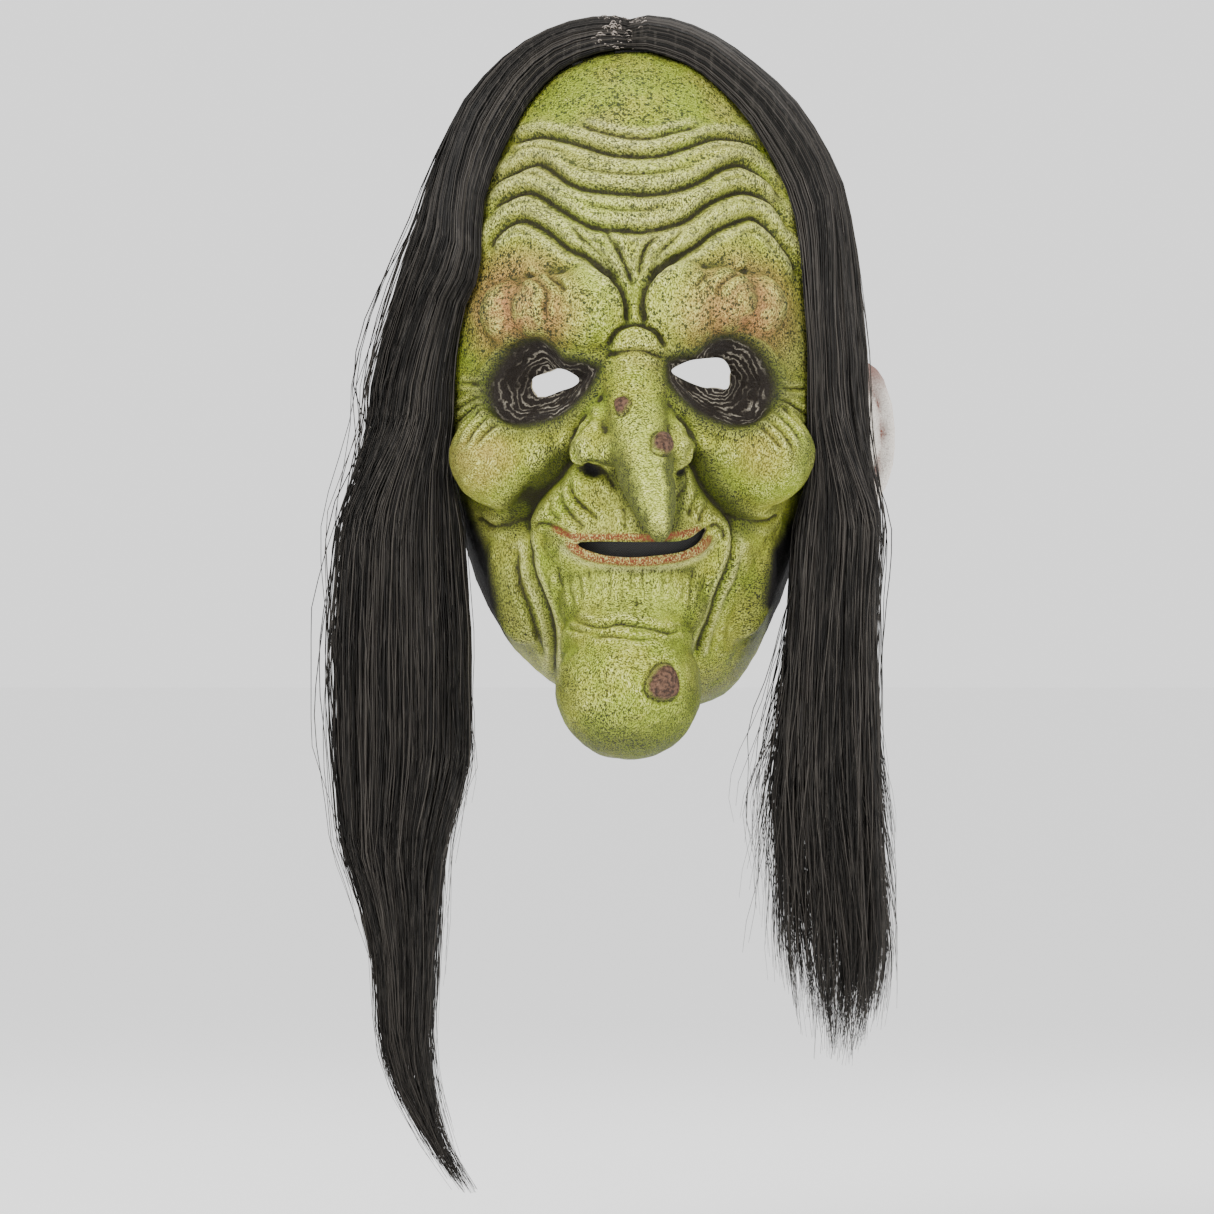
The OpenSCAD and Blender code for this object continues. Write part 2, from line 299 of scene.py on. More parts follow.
def apply(piece, kind, **settings):
    """Adds a modifier with these settings and applies it."""
    bpy.context.view_layer.objects.active = piece
    modifier = piece.modifiers.new(kind.lower(), kind)
    for name, value in settings.items():
        setattr(modifier, name, value)
    bpy.ops.object.modifier_apply(modifier=modifier.name)


# The head: a ball whose points are moved out to the head's outline.
bpy.ops.mesh.primitive_uv_sphere_add(segments=192, ring_count=128, radius=1)
skin = bpy.context.object
skin.name = "mask_skin"
ball = points_of(skin)
around = np.arctan2(ball[:, 1], ball[:, 0])
from_nose = np.degrees(np.arccos(np.clip(ball[:, 2], -1, 1)))
BACK_START = 90
BACK_END = 122
BACK_PER_DEG = 1.6
outline = np.sin(np.radians(np.minimum(from_nose, 90)))
u = outline * np.sin(around)
z = np.where(u > 0, HEAD_TOP * u, -JAW_DEPTH * np.abs(u) ** (2 / JAW_POWER))
x = half_width(z) * outline * np.cos(around)
front = np.cos(np.radians(np.minimum(from_nose, 90)))
y = -FACE_DEPTH * np.maximum(front, 0) ** FLATNESS
y += np.clip(from_nose - BACK_START, 0, BACK_END - BACK_START) * BACK_PER_DEG
shut = 1 - np.clip((from_nose - BACK_END) / (180 - BACK_END), 0, 1)
x, z = x * shut, z * shut
# The jaw hangs lower on the right, and the throat is drawn in.
z -= 9 * bell((x - 40) / 22) * bell((z + 115) / 30)
set_points(skin, np.stack([x, y, z], 1))

# Lumps of clay: x, y, z and three half sizes.
BROWS = [
    (-18, -88, 29, 17, 15, 17), (-33, -85, 30, 16, 13, 13), (-47, -76, 28, 14, 12, 13),
    (19, -88, 31, 17, 15, 17), (34, -85, 33, 16, 13, 13), (48, -75, 31, 14, 12, 13),
]
CHEEKS = [
    (-50, -66, -29, 23, 21, 21), (50, -66, -28, 23, 21, 21),
    (-36, -76, -27, 15, 13, 12), (38, -76, -26, 15, 13, 12),
]
MUZZLE = [
    (-2, -70, -60, 36, 27, 24), (0, -72, -86, 29, 22, 24),
    (-43, -53, -74, 15, 12, 30), (43, -52, -72, 15, 11, 30),
]
CHIN = [(-1.5, -87, -121, 29, 29, 28.5), (-2, -80, -104, 27, 24, 20)]
NOSE_KNOB = [(1.2, -92, 14.5, 10.5, 9, 8.5)]
NOSE_WINGS = [
    (-11.5, -95, -15, 6.5, 8, 7), (-14.5, -98, -20.5, 7.5, 9, 7), (-17, -100, -26.5, 8.2, 10, 7),
    (-19, -99, -29, 6.2, 9, 4.6), (-8, -104, -27, 9, 9, 7),
    (11.5, -95, -17, 6.5, 8, 7), (14.5, -98, -21, 7.2, 9, 7), (16.5, -100, -26.5, 7.8, 10, 7),
    (18.5, -99, -29, 5.8, 9, 4.8), (9, -104, -27, 9, 9, 7),
]
EAR_TILT = 0.45  # how far the ears turn back, in radians
for cx, cy, cz, rx, ry, rz in BROWS + CHEEKS + MUZZLE + CHIN + NOSE_KNOB + NOSE_WINGS:
    bpy.ops.mesh.primitive_uv_sphere_add(
        segments=40, ring_count=24, radius=1, location=(cx, cy, cz), scale=(rx, ry, rz)
    )

# The nose's body: balls along a spine that leans to the right and hooks down.
NOSE_SPINE = np.array([
    [0.5, -86, 14, 10], [0.5, -91, 2, 12], [1.2, -98, -12, 12.5], [3, -108, -24, 12.5],
    [5.5, -119, -36, 11.5], [7.8, -127, -46, 9.4], [9.8, -131, -54, 6.6], [10.4, -130.5, -59, 4.6],
])
for share in np.linspace(0, len(NOSE_SPINE) - 1, 29):
    i = min(int(share), len(NOSE_SPINE) - 2)
    cx, cy, cz, r = mix(NOSE_SPINE[i], NOSE_SPINE[i + 1], share - i)
    bpy.ops.mesh.primitive_uv_sphere_add(
        segments=32, ring_count=20, radius=r, location=(cx, cy, cz)
    )

# The ears: a thin dish with a rolled rim and a lobe.
for side in (-1, 1):
    out = np.array([side * math.cos(EAR_TILT), math.sin(EAR_TILT), 0])
    middle = np.array([side * 92, 5.5, -19.0])
    bpy.ops.mesh.primitive_uv_sphere_add(
        segments=40, ring_count=24, radius=1, location=middle,
        scale=(15, 2.6, 29), rotation=(0, 0, side * EAR_TILT),
    )
    for turn in np.radians(np.linspace(-95, 130, 30)):
        rim = middle + out * 13.5 * math.cos(turn) + np.array([0, -1.5, 27 * math.sin(turn)])
        bpy.ops.mesh.primitive_uv_sphere_add(
            segments=16, ring_count=10, radius=3.3 if turn > -1.2 else 4.6, location=rim
        )
    for turn in np.radians(np.linspace(-70, 80, 14)):
        rim = middle + out * 6.5 * math.cos(turn) + np.array([0, -2, 15 * math.sin(turn)])
        bpy.ops.mesh.primitive_uv_sphere_add(
            segments=16, ring_count=10, radius=2.3, location=rim
        )

choose(skin)
for piece in bpy.context.scene.objects:
    if piece.type == "MESH" and piece.name.startswith("Sphere"):
        piece.select_set(True)
bpy.ops.object.join()
bpy.ops.object.transform_apply(location=True, rotation=True, scale=True)
apply(skin, "REMESH", mode="VOXEL", voxel_size=CLAY_GRAIN, use_smooth_shade=True)
apply(skin, "SMOOTH", factor=0.6, iterations=9)


# A line pressed into the clay, smooth through a few points of the face seen from the front.
def smooth_line(marks, per_step=6):
    marks = np.asarray(marks, float)
    ends = np.vstack([2 * marks[0] - marks[1], marks, 2 * marks[-1] - marks[-2]])
    t = np.linspace(0, 1, per_step, endpoint=False)[:, None]
    line = [
        0.5 * (2 * b + (c - a) * t + (2 * a - 5 * b + 4 * c - d) * t**2
               + (3 * b - a - 3 * c + d) * t**3)
        for a, b, c, d in zip(ends, ends[1:], ends[2:], ends[3:])
    ]
    return np.vstack(line + [marks[-1:]])


def beside(line, x, z, reach):
    """For the points within reach of a line: which they are, their distance to it with its
    side as the sign, and how far along it they lie, from 0 to 1."""
    low, high = line.min(0) - reach, line.max(0) + reach
    near = np.flatnonzero((x > low[0]) & (x < high[0]) & (z > low[1]) & (z < high[1]))
    best = np.full(len(near), 1e9)
    signed = np.zeros(len(near))
    along = np.zeros(len(near))
    steps = np.r_[0, np.cumsum(np.hypot(*np.diff(line, axis=0).T))]
    for a, b, s0, s1 in zip(line, line[1:], steps, steps[1:]):
        dx, dz = b - a
        px, pz = x[near] - a[0], z[near] - a[1]
        t = np.clip((px * dx + pz * dz) / (dx * dx + dz * dz), 0, 1)
        gap = np.hypot(px - t * dx, pz - t * dz)
        closer = gap < best
        best[closer] = gap[closer]
        signed[closer] = (gap * np.sign(dx * pz - dz * px))[closer]
        along[closer] = (mix(s0, s1, t) / steps[-1])[closer]
    keep = best < reach
    return near[keep], signed[keep], along[keep]


clay = points_of(skin)
x, y, z = clay.T
facing = normals_of(skin)
flat_front = ease((-facing[:, 1] - 0.05) / 0.3)
on_nose = ease((-(y) - 103) / 6) * (z < 6) * (z > -75) * (np.abs(x - 5) < 34)
off_nose = 1 - on_nose
height = np.zeros(len(clay))
wash_and_shade = np.zeros(len(clay))
bone = np.zeros(len(clay))


def faded(along, start, stop=None):
    """1 along a line, falling to 0 over these shares of it at its two ends."""
    return ease(along / start) * ease((1 - along) / (stop or start))


def press(marks, width, depth, lip=0.0, dark=1.0, where=None, fade=0.18, pale=0.0):
    """Presses a crease along a line, raises a lip beside it, darkens it with a wash that also stands
    in for the crease's shade and, where pale is given, brushes its shoulders with bone colour."""
    near, off, along = beside(smooth_line(marks), x, z, width * 6)
    mask = faded(along, fade) * flat_front[near] * (off_nose if where is None else where)[near]
    height[near] -= depth * bell(off / width) * mask
    height[near] += lip * bell((np.abs(off) - 2.4 * width) / (1.6 * width)) * mask
    crease_wash_and_shade = np.maximum(bell(off / (width * 0.5)), 0.4 * bell(off / (width * 1.25)))
    wash_and_shade[near] = np.maximum(wash_and_shade[near], dark * crease_wash_and_shade * mask)
    if pale:
        bone[near] = np.maximum(
            bone[near], pale * bell((np.abs(off) - 1.9 * width) / (0.8 * width)) * mask
        )


def in_oval(cx, cz, rx, rz, turn):
    """Where the points lie in a turned oval, as shares of its two half widths."""
    c, s = math.cos(turn), math.sin(turn)
    dx, dz = x - cx, z - cz
    return (dx * c + dz * s) / rx, (-dx * s + dz * c) / rz


def inside(marks, px, pz):
    """Which points lie within a closed smooth line through the marks."""
    loop = smooth_line(list(marks) + [marks[0]])
    found = np.zeros(len(px), bool)
    for (ax, az), (bx, bz) in zip(loop, loop[1:]):
        crosses = (az > pz) != (bz > pz)
        at = ax + (pz - az) / np.where(bz == az, 1e-9, bz - az) * (bx - ax)
        found ^= crosses & (px < at)
    return found


# Eye sockets: the bowl under the brow, its rim airbrushed dark, which also stands in for the
# shade round it, and the lids' fine wrinkles, which follow the outline inwards.
SOCKET_LEFT = [
    (-12.6, 6.2), (-19.3, 8.5), (-27, 10), (-31, 14), (-38, 17.5), (-48, 14), (-55.6, 4.5),
    (-58, -4), (-54, -13), (-43.8, -17), (-31, -14.5), (-22.7, -9), (-16, -1.4),
]
SOCKET_RIGHT = [
    (13.5, 9), (19, 10.5), (26, 12), (30.4, 16), (38, 18.5), (47.2, 15.5), (54.8, 7),
    (57.7, -1.4), (54.8, -10), (48, -16), (38.8, -17), (27.8, -13), (19.4, -6.4), (14.2, 0.5),
]
SOCKET_DEEP = 12.5
socket = np.zeros(len(clay))
airbrush_and_shade = np.zeros(len(clay))
lid = np.zeros(len(clay))
silver = np.zeros(len(clay))
for marks, corner_x in ((SOCKET_LEFT, -51), (SOCKET_RIGHT, 51)):
    near, off, along = beside(smooth_line(marks + [marks[0]]), x, z, 26)
    deep = np.where(inside(marks, x[near], z[near]), np.abs(off), -np.abs(off))
    face = (flat_front * off_nose)[near]
    height[near] -= SOCKET_DEEP * ease((deep + 1.5) / 12) * face
    height[near] += 1.5 * bell((deep + 2.6) / 2.4) * face
    socket[near] = np.maximum(socket[near], ease((deep + 1.2) / 3.2) * face)
    airbrush_and_shade[near] = np.maximum(airbrush_and_shade[near], ease((deep + 8.5) / 9) * face)
    spin = along * 2 * math.pi
    band = ease((deep - 0.6) / 1.6) * face
    height[near] += 0.4 * np.cos(2 * math.pi * (deep / 3.6 + 0.2 * np.sin(3 * spin))) * band
    corner = bell((x[near] - corner_x) / 8) * bell((z[near] - 1) / 10)
    lid[near] = np.maximum(lid[near], np.clip(deep, 0, None) * face)
    silver[near] = np.maximum(silver[near], band * (1 - 0.8 * corner))

# Forehead folds.
DEEP_FOLD = dict(width=1.8, depth=3.0, lip=1.3, dark=0.95, fade=0.08, pale=0.5)
press([(-23, 103.7), (-9.3, 99.2), (4.6, 97.5), (18.6, 100.5), (30, 103.2)],
      1.3, 1.7, 0.6, 0.8, pale=0.7)
press([(-52, 95.5), (-40.4, 98.9), (-33.9, 99.2), (-21.1, 95.7), (-7.2, 91.4), (8.9, 90.9),
       (21.8, 94.6), (34.6, 98.6), (47.5, 96.8), (56, 91)], 1.7, 2.6, 1.1, 0.75, fade=0.1, pale=0.5)
press([(-58, 76), (-52.2, 82.8), (-40.4, 87.9), (-35, 87.1), (-23.2, 79.1), (-7.2, 76.1),
       (10, 75.9), (23.9, 79.3), (36.8, 86.6), (45, 88.2), (53.9, 82.3), (59.3, 75.9), (62, 68)],
      1.8, 2.9, 1.2, 0.9, fade=0.08, pale=0.5)
press([(-59, 66), (-53.2, 72.6), (-41.4, 76.6), (-29.7, 70), (-16.8, 62.5), (-1.8, 60.6),
       (6.8, 60.6), (20.7, 64.6), (31.4, 72.1), (44.3, 77.1), (55, 73.7), (60.3, 67.3), (64, 58)],
      **DEEP_FOLD)
press([(-58, 52), (-54.8, 59.8), (-45.7, 65.4), (-36.1, 61.9), (-25.4, 53.4), (-18.9, 50.7),
       (-12.5, 46.4), (-8.2, 42.6), (-5, 38.4)], **DEEP_FOLD)
press([(-10, 44), (-6.6, 40.5), (-3.6, 36), (-2, 30), (-2.4, 23)], 1.2, 2.2, 0.7, 0.95, fade=0.12)
press([(67.5, 42), (63.6, 52.3), (52.8, 64.1), (46.4, 66.2), (33.6, 60.9), (26.1, 55),
       (17.5, 50.1), (12.1, 46.9), (7.8, 42.6), (5.5, 38.4)], **DEEP_FOLD)
press([(10.5, 45), (7, 41), (4.4, 36), (3.6, 30), (5.2, 22.5)], 1.2, 2.2, 0.7, 0.95, fade=0.12)
# Thinner creases between the folds.
for marks in (
    [(-50, 91), (-40, 94.2), (-30, 92.8), (-22, 90)], [(24, 91), (35, 94.4), (45, 93), (52, 88)],
    [(-27, 88), (-14, 84.2), (2, 83), (16, 84.8), (25, 88)], [(-46, 83.5), (-38, 83), (-30, 78)],
    [(30, 76.5), (40, 82), (50, 79)], [(-22, 72.5), (-8, 69), (6, 68.8), (20, 72.5)],
    [(-48, 71), (-40, 72), (-31, 66)], [(32, 67), (42, 72.4), (52, 69)],
    [(-53, 56), (-46, 60.6), (-38, 58)], [(42, 60.5), (51, 59.5), (59, 50)],
    [(-20, 56.5), (-12, 54.8), (-6, 48)], [(15, 55.5), (10, 52.5), (5.5, 46.5)],
):
    press(marks, 0.8, 0.8, 0.35, 0.62, fade=0.3, pale=0.35)
# Frown lines between the brows.
FROWN_OUTER = dict(width=1.0, depth=1.5, lip=0.6, dark=0.9, pale=0.5)
FROWN_INNER = dict(width=1.1, depth=1.8, lip=0.7, dark=1.0, pale=0.5)
press([(-25.4, 64.1), (-21.1, 58.7), (-15.7, 53.4), (-10.4, 49.1), (-6.6, 44.8)], **FROWN_OUTER)
press([(-12.4, 62), (-8.2, 56.6), (-5, 51.2), (-2.3, 44.8), (-0.2, 38)], **FROWN_INNER)
press([(12.1, 59.8), (7.8, 56.6), (4.6, 52.3), (3, 45.9), (2.2, 40)], **FROWN_INNER)
press([(20.7, 61.9), (16.4, 56.6), (11.1, 51.2), (7.2, 46.5)], **FROWN_OUTER)
press([(-1.5, 49), (-0.6, 44), (0.2, 36), (0.6, 30)], 0.8, 0.9, 0.3, 0.7)
# Brow ends and the folds that run down from them.
press([(-44.7, 44.8), (-37.2, 40.5), (-33.9, 35.1), (-34.5, 28.7), (-32.9, 22.3)], 1.2, 1.3, 0.7, 0.35)
press([(-34, 42.5), (-29, 39), (-26.4, 35.5)], 1.0, 1.4, 0.5, 0.8)
press([(47.5, 45.9), (40, 42.6), (34.6, 38.4), (34.6, 32)], 1.2, 1.3, 0.7, 0.4)
press([(30, 43), (26.5, 39.5), (24.5, 37)], 0.9, 1.0, 0.4, 0.6)
# Knob at the root of the nose.
press([(-9.6, 12.5), (-8.3, 17.5), (-3.9, 22), (2.5, 22.8), (8.9, 20), (12.4, 15), (13.4, 11)],
      0.9, 1.5, 0.5, 0.75, where=flat_front, fade=0.12)
press([(-11.5, 9), (-9, 11), (-3.9, 12), (2.5, 12.4), (8.9, 11), (12.6, 8)],
      1.1, 1.7, 0.5, 0.95, where=flat_front, fade=0.15)

# Crow's feet.
CROW_LEFT = [
    [(-57.5, 0.2), (-62, 0), (-70, 0.8)],
    [(-57, -5), (-64, -6.5), (-72, -11)], [(-57, -7.5), (-64, -10), (-72, -17)],
    [(-57, -10), (-63.5, -13.5), (-71, -23)], [(-55, -13), (-61, -16.5), (-68, -26)],
    [(-51, -16.5), (-57, -18.5), (-63, -25)],
]
CROW_RIGHT = [
    [(57.5, -1), (63, -2), (71, -1.5)],
    [(56, -6), (63, -8), (71, -13)], [(56, -9), (62.5, -12), (70, -20)],
    [(55, -11.5), (61, -15), (68.5, -24)], [(52, -14.5), (58.5, -18), (65.5, -28)],
    [(48, -17), (54, -19.5), (60, -27)],
]
for marks in CROW_LEFT + CROW_RIGHT:
    press(marks, 0.9, 1.3, 0.55, 0.8, fade=0.25, pale=0.25)

# Folds from the nose to the mouth, and the hollows they sit in.
FOLD_LEFT = [
    (-23.5, -24), (-26.5, -31), (-31, -37.5), (-37, -43), (-42.5, -49), (-45, -56), (-43, -64),
]
FOLD_RIGHT = [
    (23.5, -24), (25.5, -32), (29.5, -40.5), (34.6, -47), (40, -52), (43, -57), (42, -66),
]
for marks in (FOLD_LEFT, FOLD_RIGHT):
    press(marks, 3.6, 6.5, 1.0, 0.85, fade=0.16)
    press(marks, 1.2, 1.6, 0.0, 1.0, fade=0.14)
press([(40, -52.5), (46, -54.5), (54, -54.5), (60, -51)], 1.3, 2.2, 0.6, 0.6)
press([(-44, -53), (-50, -56), (-57, -56.5), (-64, -52)], 1.6, 2.2, 0.6, 0.5)
# Lines from the mouth's corners down to the chin.
press([(-43.8, -58), (-41.4, -65), (-40.4, -72), (-38.4, -79), (-35.1, -86.5), (-32.6, -95),
       (-31.6, -104), (-32, -113), (-31.5, -121)], 1.4, 2.4, 0.9, 0.9, fade=0.1, pale=0.55)
press([(-46, -62), (-44.9, -78), (-40, -92), (-35.5, -106), (-34, -114)], 1.3, 1.5, 0.6, 0.5)
press([(42, -57), (41, -65), (37.6, -75.5), (33.7, -85), (30.8, -94), (27.9, -101), (25.5, -109)],
      1.4, 2.4, 0.9, 0.9, fade=0.1, pale=0.55)
press([(44.5, -63), (41.5, -77), (36, -89), (32.5, -99), (30.5, -110)], 1.2, 1.2, 0.5, 0.4)
# Pleats above the upper lip and on its sides.
press([(-24.3, -36), (-24.3, -41), (-22, -46.5), (-16.8, -51), (-12, -56)],
      1.0, 1.4, 0.5, 0.85, fade=0.2)
press([(-28.5, -41), (-27, -48), (-22.5, -54), (-18, -58)], 0.9, 0.9, 0.4, 0.4)
press([(-3.6, -48), (-3.2, -53), (-3, -59)], 0.8, 1.2, 0.4, 1.0)
press([(2.4, -53), (2.6, -58)], 0.7, 0.9, 0.3, 0.8)
press([(21.6, -34), (20.6, -41), (16.6, -47)], 0.9, 1.3, 0.4, 0.9)
press([(27.5, -42), (23.5, -48.5), (22, -54)], 0.9, 1.2, 0.4, 0.85)
press([(30.5, -48), (27, -52.5), (26.5, -56)], 0.9, 1.1, 0.4, 0.8)
press([(-33, -46), (-32, -51), (-28, -55.5)], 0.8, 0.8, 0.3, 0.4)
# Fine pleats below the lower lip and creases above the chin ball.
for k, across in enumerate(np.linspace(-34, 33, 17)):
    top = -73.5 + 3.2 * math.sin(2.3 * k)
    foot = -88 + 4.5 * math.sin(1.7 * k)
    sway = 1.1 * math.sin(3.1 * k)
    press([(across, top), (across * 0.97 + sway, (top + foot) / 2), (across * 0.90 - sway, foot)],
          width=0.7, depth=0.7 if abs(across) > 22 else 0.42, lip=0.25,
          dark=0.20 + 0.14 * math.sin(1.3 * k), fade=0.4)
press([(-25.4, -93), (-19.6, -95.2), (-12.8, -96.6), (-5.1, -95), (2.7, -96.2), (10.4, -98.1),
       (16.3, -98.6), (22.1, -97)], 1.1, 1.5, 0.6, 0.75)
press([(-26.4, -97.1), (-19.6, -98.6), (-12, -99.4)], 0.8, 0.9, 0.4, 0.6)
press([(-17.7, -101), (-8.9, -100), (0.8, -101), (8.5, -101), (13, -103)], 0.9, 1.1, 0.5, 0.6)
press([(-2, -98.6), (5, -98.8), (9, -100)], 0.7, 0.7, 0.3, 0.5)
press([(2, -84), (1.2, -89), (0.4, -93.5)], 0.7, 0.6, 0.2, 0.6)

# The mouth: a thin upper lip, a fuller lower one, and their corners tucked up.
MOUTH_TOP = [(-22.5, -63.2), (-13.8, -62.9), (-4, -63), (5.6, -63.1), (16.3, -62.9), (22.1, -61.8),
             (26, -59.2), (29.8, -56.6)]
MOUTH_LOW = [(-22.5, -63.6), (-18.6, -66.1), (-8.9, -68.8), (0.8, -69.2), (10.4, -68.4),
             (20.1, -66.8), (26, -63.7), (29.8, -58.6)]
UPPER_LIP = [(-35.1, -54), (-30.3, -57.6), (-24.5, -60.4), (-13.8, -61.1), (-4.1, -60.8),
             (7.5, -61.4), (16.3, -60.3), (23, -58.8), (29.5, -55.4)]
LOWER_LIP = [(-28.3, -60.2), (-22.5, -65.4), (-14.8, -68.9), (0.8, -70.3), (15.3, -69.4),
             (24.4, -66.2), (30, -61.2), (31.4, -56.5)]
on_face = flat_front * (y > -106)
lips = np.zeros(len(clay))
for marks, width, out in ((UPPER_LIP, 1.7, 1.3), (LOWER_LIP, 2.2, 2.4)):
    near, off, along = beside(smooth_line(marks), x, z, 14)
    mask = faded(along, 0.12) * on_face[near]
    height[near] += out * bell(off / width) * mask
    lips[near] = np.maximum(lips[near], bell(off / (width * 0.85)) * mask)
near, off, along = beside(smooth_line(LOWER_LIP), x, z, 14)
brushed = bell((np.abs(off) - 3.1) / 1.5) * (z[near] < -60) * on_face[near]
brushed *= faded(along, 0.1, 0.15)
bone[near] = np.maximum(bone[near], brushed)
for marks in (
    [(-40, -59.5), (-38.6, -56.5), (-34.1, -55.6), (-28.3, -58.2), (-22.5, -62.5)],
    [(29.5, -57), (33.5, -56.2), (36.6, -59.5), (36, -63)],
):
    press(marks, 1.1, 1.8, 0.5, 1.0, where=on_face)

# Nostrils and the grooves behind the wings.
nostril = np.zeros(len(clay))
for *oval, deep in ((-16.6, -35.6, 4.6, 2.3, -0.25, 5), (19.4, -35.8, 2.6, 1.2, 0.4, 2)):
    u, v = in_oval(*oval)
    shape = bell(u) * bell(v) * (y < -84)
    height -= deep * shape
    nostril = np.maximum(nostril, ease((shape - 0.3) / 0.4))
for marks in ([(-15, -12), (-20.5, -17), (-25.4, -24), (-26.2, -30), (-24, -36)],
              [(16, -12), (21.5, -17), (26, -24.5), (26.2, -30), (23.5, -36)]):
    press(marks, 1.5, 2.2, 0.0, 0.8, where=flat_front, fade=0.2)
for marks in ([(-15, -13), (-11.5, -18), (-9.5, -23)], [(16.5, -14), (14.5, -19), (14.8, -24)]):
    press(marks, 1.6, 0.9, 0.0, 0.3, where=flat_front, fade=0.4)
# The wings' lower edges, over the lip.
press([(-24.5, -33.2), (-21, -34.5), (-16, -33), (-11.5, -35.2), (-8.5, -39.5), (-5.5, -44)],
      1.2, 1.8, 0.6, 1.0, where=flat_front, fade=0.15)
press([(23.5, -33), (20, -35), (17, -35.6)], 1.1, 1.5, 0.5, 0.9, where=flat_front, fade=0.2)

# Warts: domes of uneven outline with a sunk rim.
WARTS = [  # x, z, two half widths, turn and height
    (-4, -9.3, 2.8, 3.7, -0.3, 3.0), (11.3, -24.8, 3.6, 4.6, 0.5, 3.8),
    (11.9, -118.9, 6.0, 7.0, -0.3, 4.8),
]
wart = np.zeros(len(clay))
for cx, cz, rx, rz, turn, out in WARTS:
    d = np.hypot(*in_oval(cx, cz, rx, rz, turn))
    d *= 1 + 0.07 * np.sin(3 * np.arctan2(z - cz, x - cx) + cz)
    shown = flat_front * (y < -88)
    height += out * np.sqrt(np.clip(1 - d**2, 0, 1)) * shown
    height -= 0.7 * bell((d - 1.12) / 0.14) * shown
    wash_and_shade = np.maximum(wash_and_shade, 0.85 * bell((d - 1.1) / 0.12) * shown)
    wart = np.maximum(wart, ease((1.0 - d) / 0.12) * shown)

# Broad forms, and the small unevenness of hand-worked clay.
for *oval, out in ((0, 112, 40, 22, 0, 1.5), (-45, 9, 10, 6, 0, 0.5)):
    u, v = in_oval(*oval)
    height += out * (bell(u) * bell(v)) * (flat_front * off_nose)
for i, point in enumerate(clay):
    spot = Vector(point)
    height[i] += 0.55 * noise.noise(spot * 0.09) + 0.28 * noise.noise(spot * 0.27)

clay += facing * height[:, None]
set_points(skin, clay)

# Every hollow is darkened and every crest lightened, fine and broad: in the fine hollows a paint
# wash that also stands in for their shade, in the broad ones painted shade, and on the crests
# pale paint that is partly dry brushing and partly a painted highlight.
ends = np.empty(len(skin.data.edges) * 2, np.int64)
skin.data.edges.foreach_get("vertices", ends)
start, stop = ends.reshape(-1, 2).T
both = np.r_[start, stop]
links = np.bincount(both, minlength=len(clay))


def relaxed(points, times):
    """The points after each has moved to the middle of its neighbours, several times over."""
    for _ in range(times):
        beyond = [np.r_[points[stop, i], points[start, i]] for i in range(3)]
        sums = [np.bincount(both, values, len(points)) for values in beyond]
        points = np.stack(sums, 1) / links[:, None]
    return points


facing = normals_of(skin)
nearly = relaxed(clay, 4)
fine = ((nearly - clay) * facing).sum(1)
broad = ((relaxed(nearly, 56) - clay) * facing).sum(1)
# The fine hollows take the wash, which also stands in for their shade.
wash_and_shade = np.maximum(wash_and_shade, 0.85 * ease((fine - 0.09) / 0.32))
side_on = np.maximum(np.abs(facing[:, 0]) - 0.35, -facing[:, 2] - 0.3)
# Painted shade, with some airbrushing: darker in broad hollows, on faces turned down under the chin,
# on faces turned to the side, towards the lower jaw's sides, and on the lower nose's sides and
# underside.
airbrush_and_shade = np.maximum.reduce([
    airbrush_and_shade,
    ease((broad - 0.25) / 2.2),
    0.75 * ease((-facing[:, 2] - 0.15) / 0.65) * ease((-108 - z) / 22),
    0.6 * ease((np.abs(facing[:, 0]) - 0.52) / 0.42),
    0.72 * ease((np.abs(x) - 32) / 24) * ease((-58 - z) / 26),
    0.9 * on_nose * ease(side_on / 0.4) * ease((-20 - z) / 12),
])
# The nose's painted shadow on the lip behind it.
for marks in ([(-8, -36), (-3.2, -44), (1, -51), (4, -57), (8, -64), (12, -65)],
              [(19, -37), (19, -44), (18, -51), (16.5, -57), (13, -63)]):
    near, off, along = beside(smooth_line(marks), x, z, 12)
    dimmed = 0.9 * bell(off / 3.2) * (1 - on_nose[near]) * (y[near] < -60)
    airbrush_and_shade[near] = np.maximum(airbrush_and_shade[near], dimmed)
# Painted shade on the cheeks, darkest where they turn under towards the folds beside the nose.
for marks, outward in ((FOLD_LEFT, -1), (FOLD_RIGHT, 1)):
    near, off, along = beside(smooth_line(marks), x, z, 22)
    under = bell((off * outward - 3) / 6.5) * faded(along, 0.12, 0.2)
    airbrush_and_shade[near] = np.maximum(airbrush_and_shade[near], 0.85 * under * flat_front[near] * off_nose[near])
crest = ease((-fine - 0.04) / 0.22) + 0.5 * ease((-broad - 0.3) / 1.6)

# The jaw's sides are airbrushed black up to the cheeks.
EDGE_Z = [-132, -122, -110, -98, -92, -88, -67, -50, -42, -30]
EDGE_LEFT = [40, 46, 51, 53, 53, 53, 57, 65, 72, 84]
EDGE_RIGHT = [60, 62, 63, 62, 57, 52, 55, 67, 74, 86]
edge = np.where(x < 0, np.interp(z, EDGE_Z, EDGE_LEFT), np.interp(z, EDGE_Z, EDGE_RIGHT))
jaw = ease((np.abs(x) - edge + 3) / 6) * ease((-30 - z) / 8) * (y > -88)
ear = ease((np.abs(x) - 85.5) / 1.5) * (np.abs(z + 20) < 45) * (y > -14)

paint = {
    "wash_and_shade": wash_and_shade, "bone": bone, "socket": socket, "lips": lips, "wart": wart,
    "nostril": nostril, "airbrush_and_shade": airbrush_and_shade, "crest": crest, "jaw": jaw, "ear": ear,
    "lid": lid, "silver": silver,
}
for name, values in paint.items():
    layer = skin.data.attributes.new(name, "FLOAT", "POINT")
    layer.data.foreach_set("value", values.astype(np.float32))


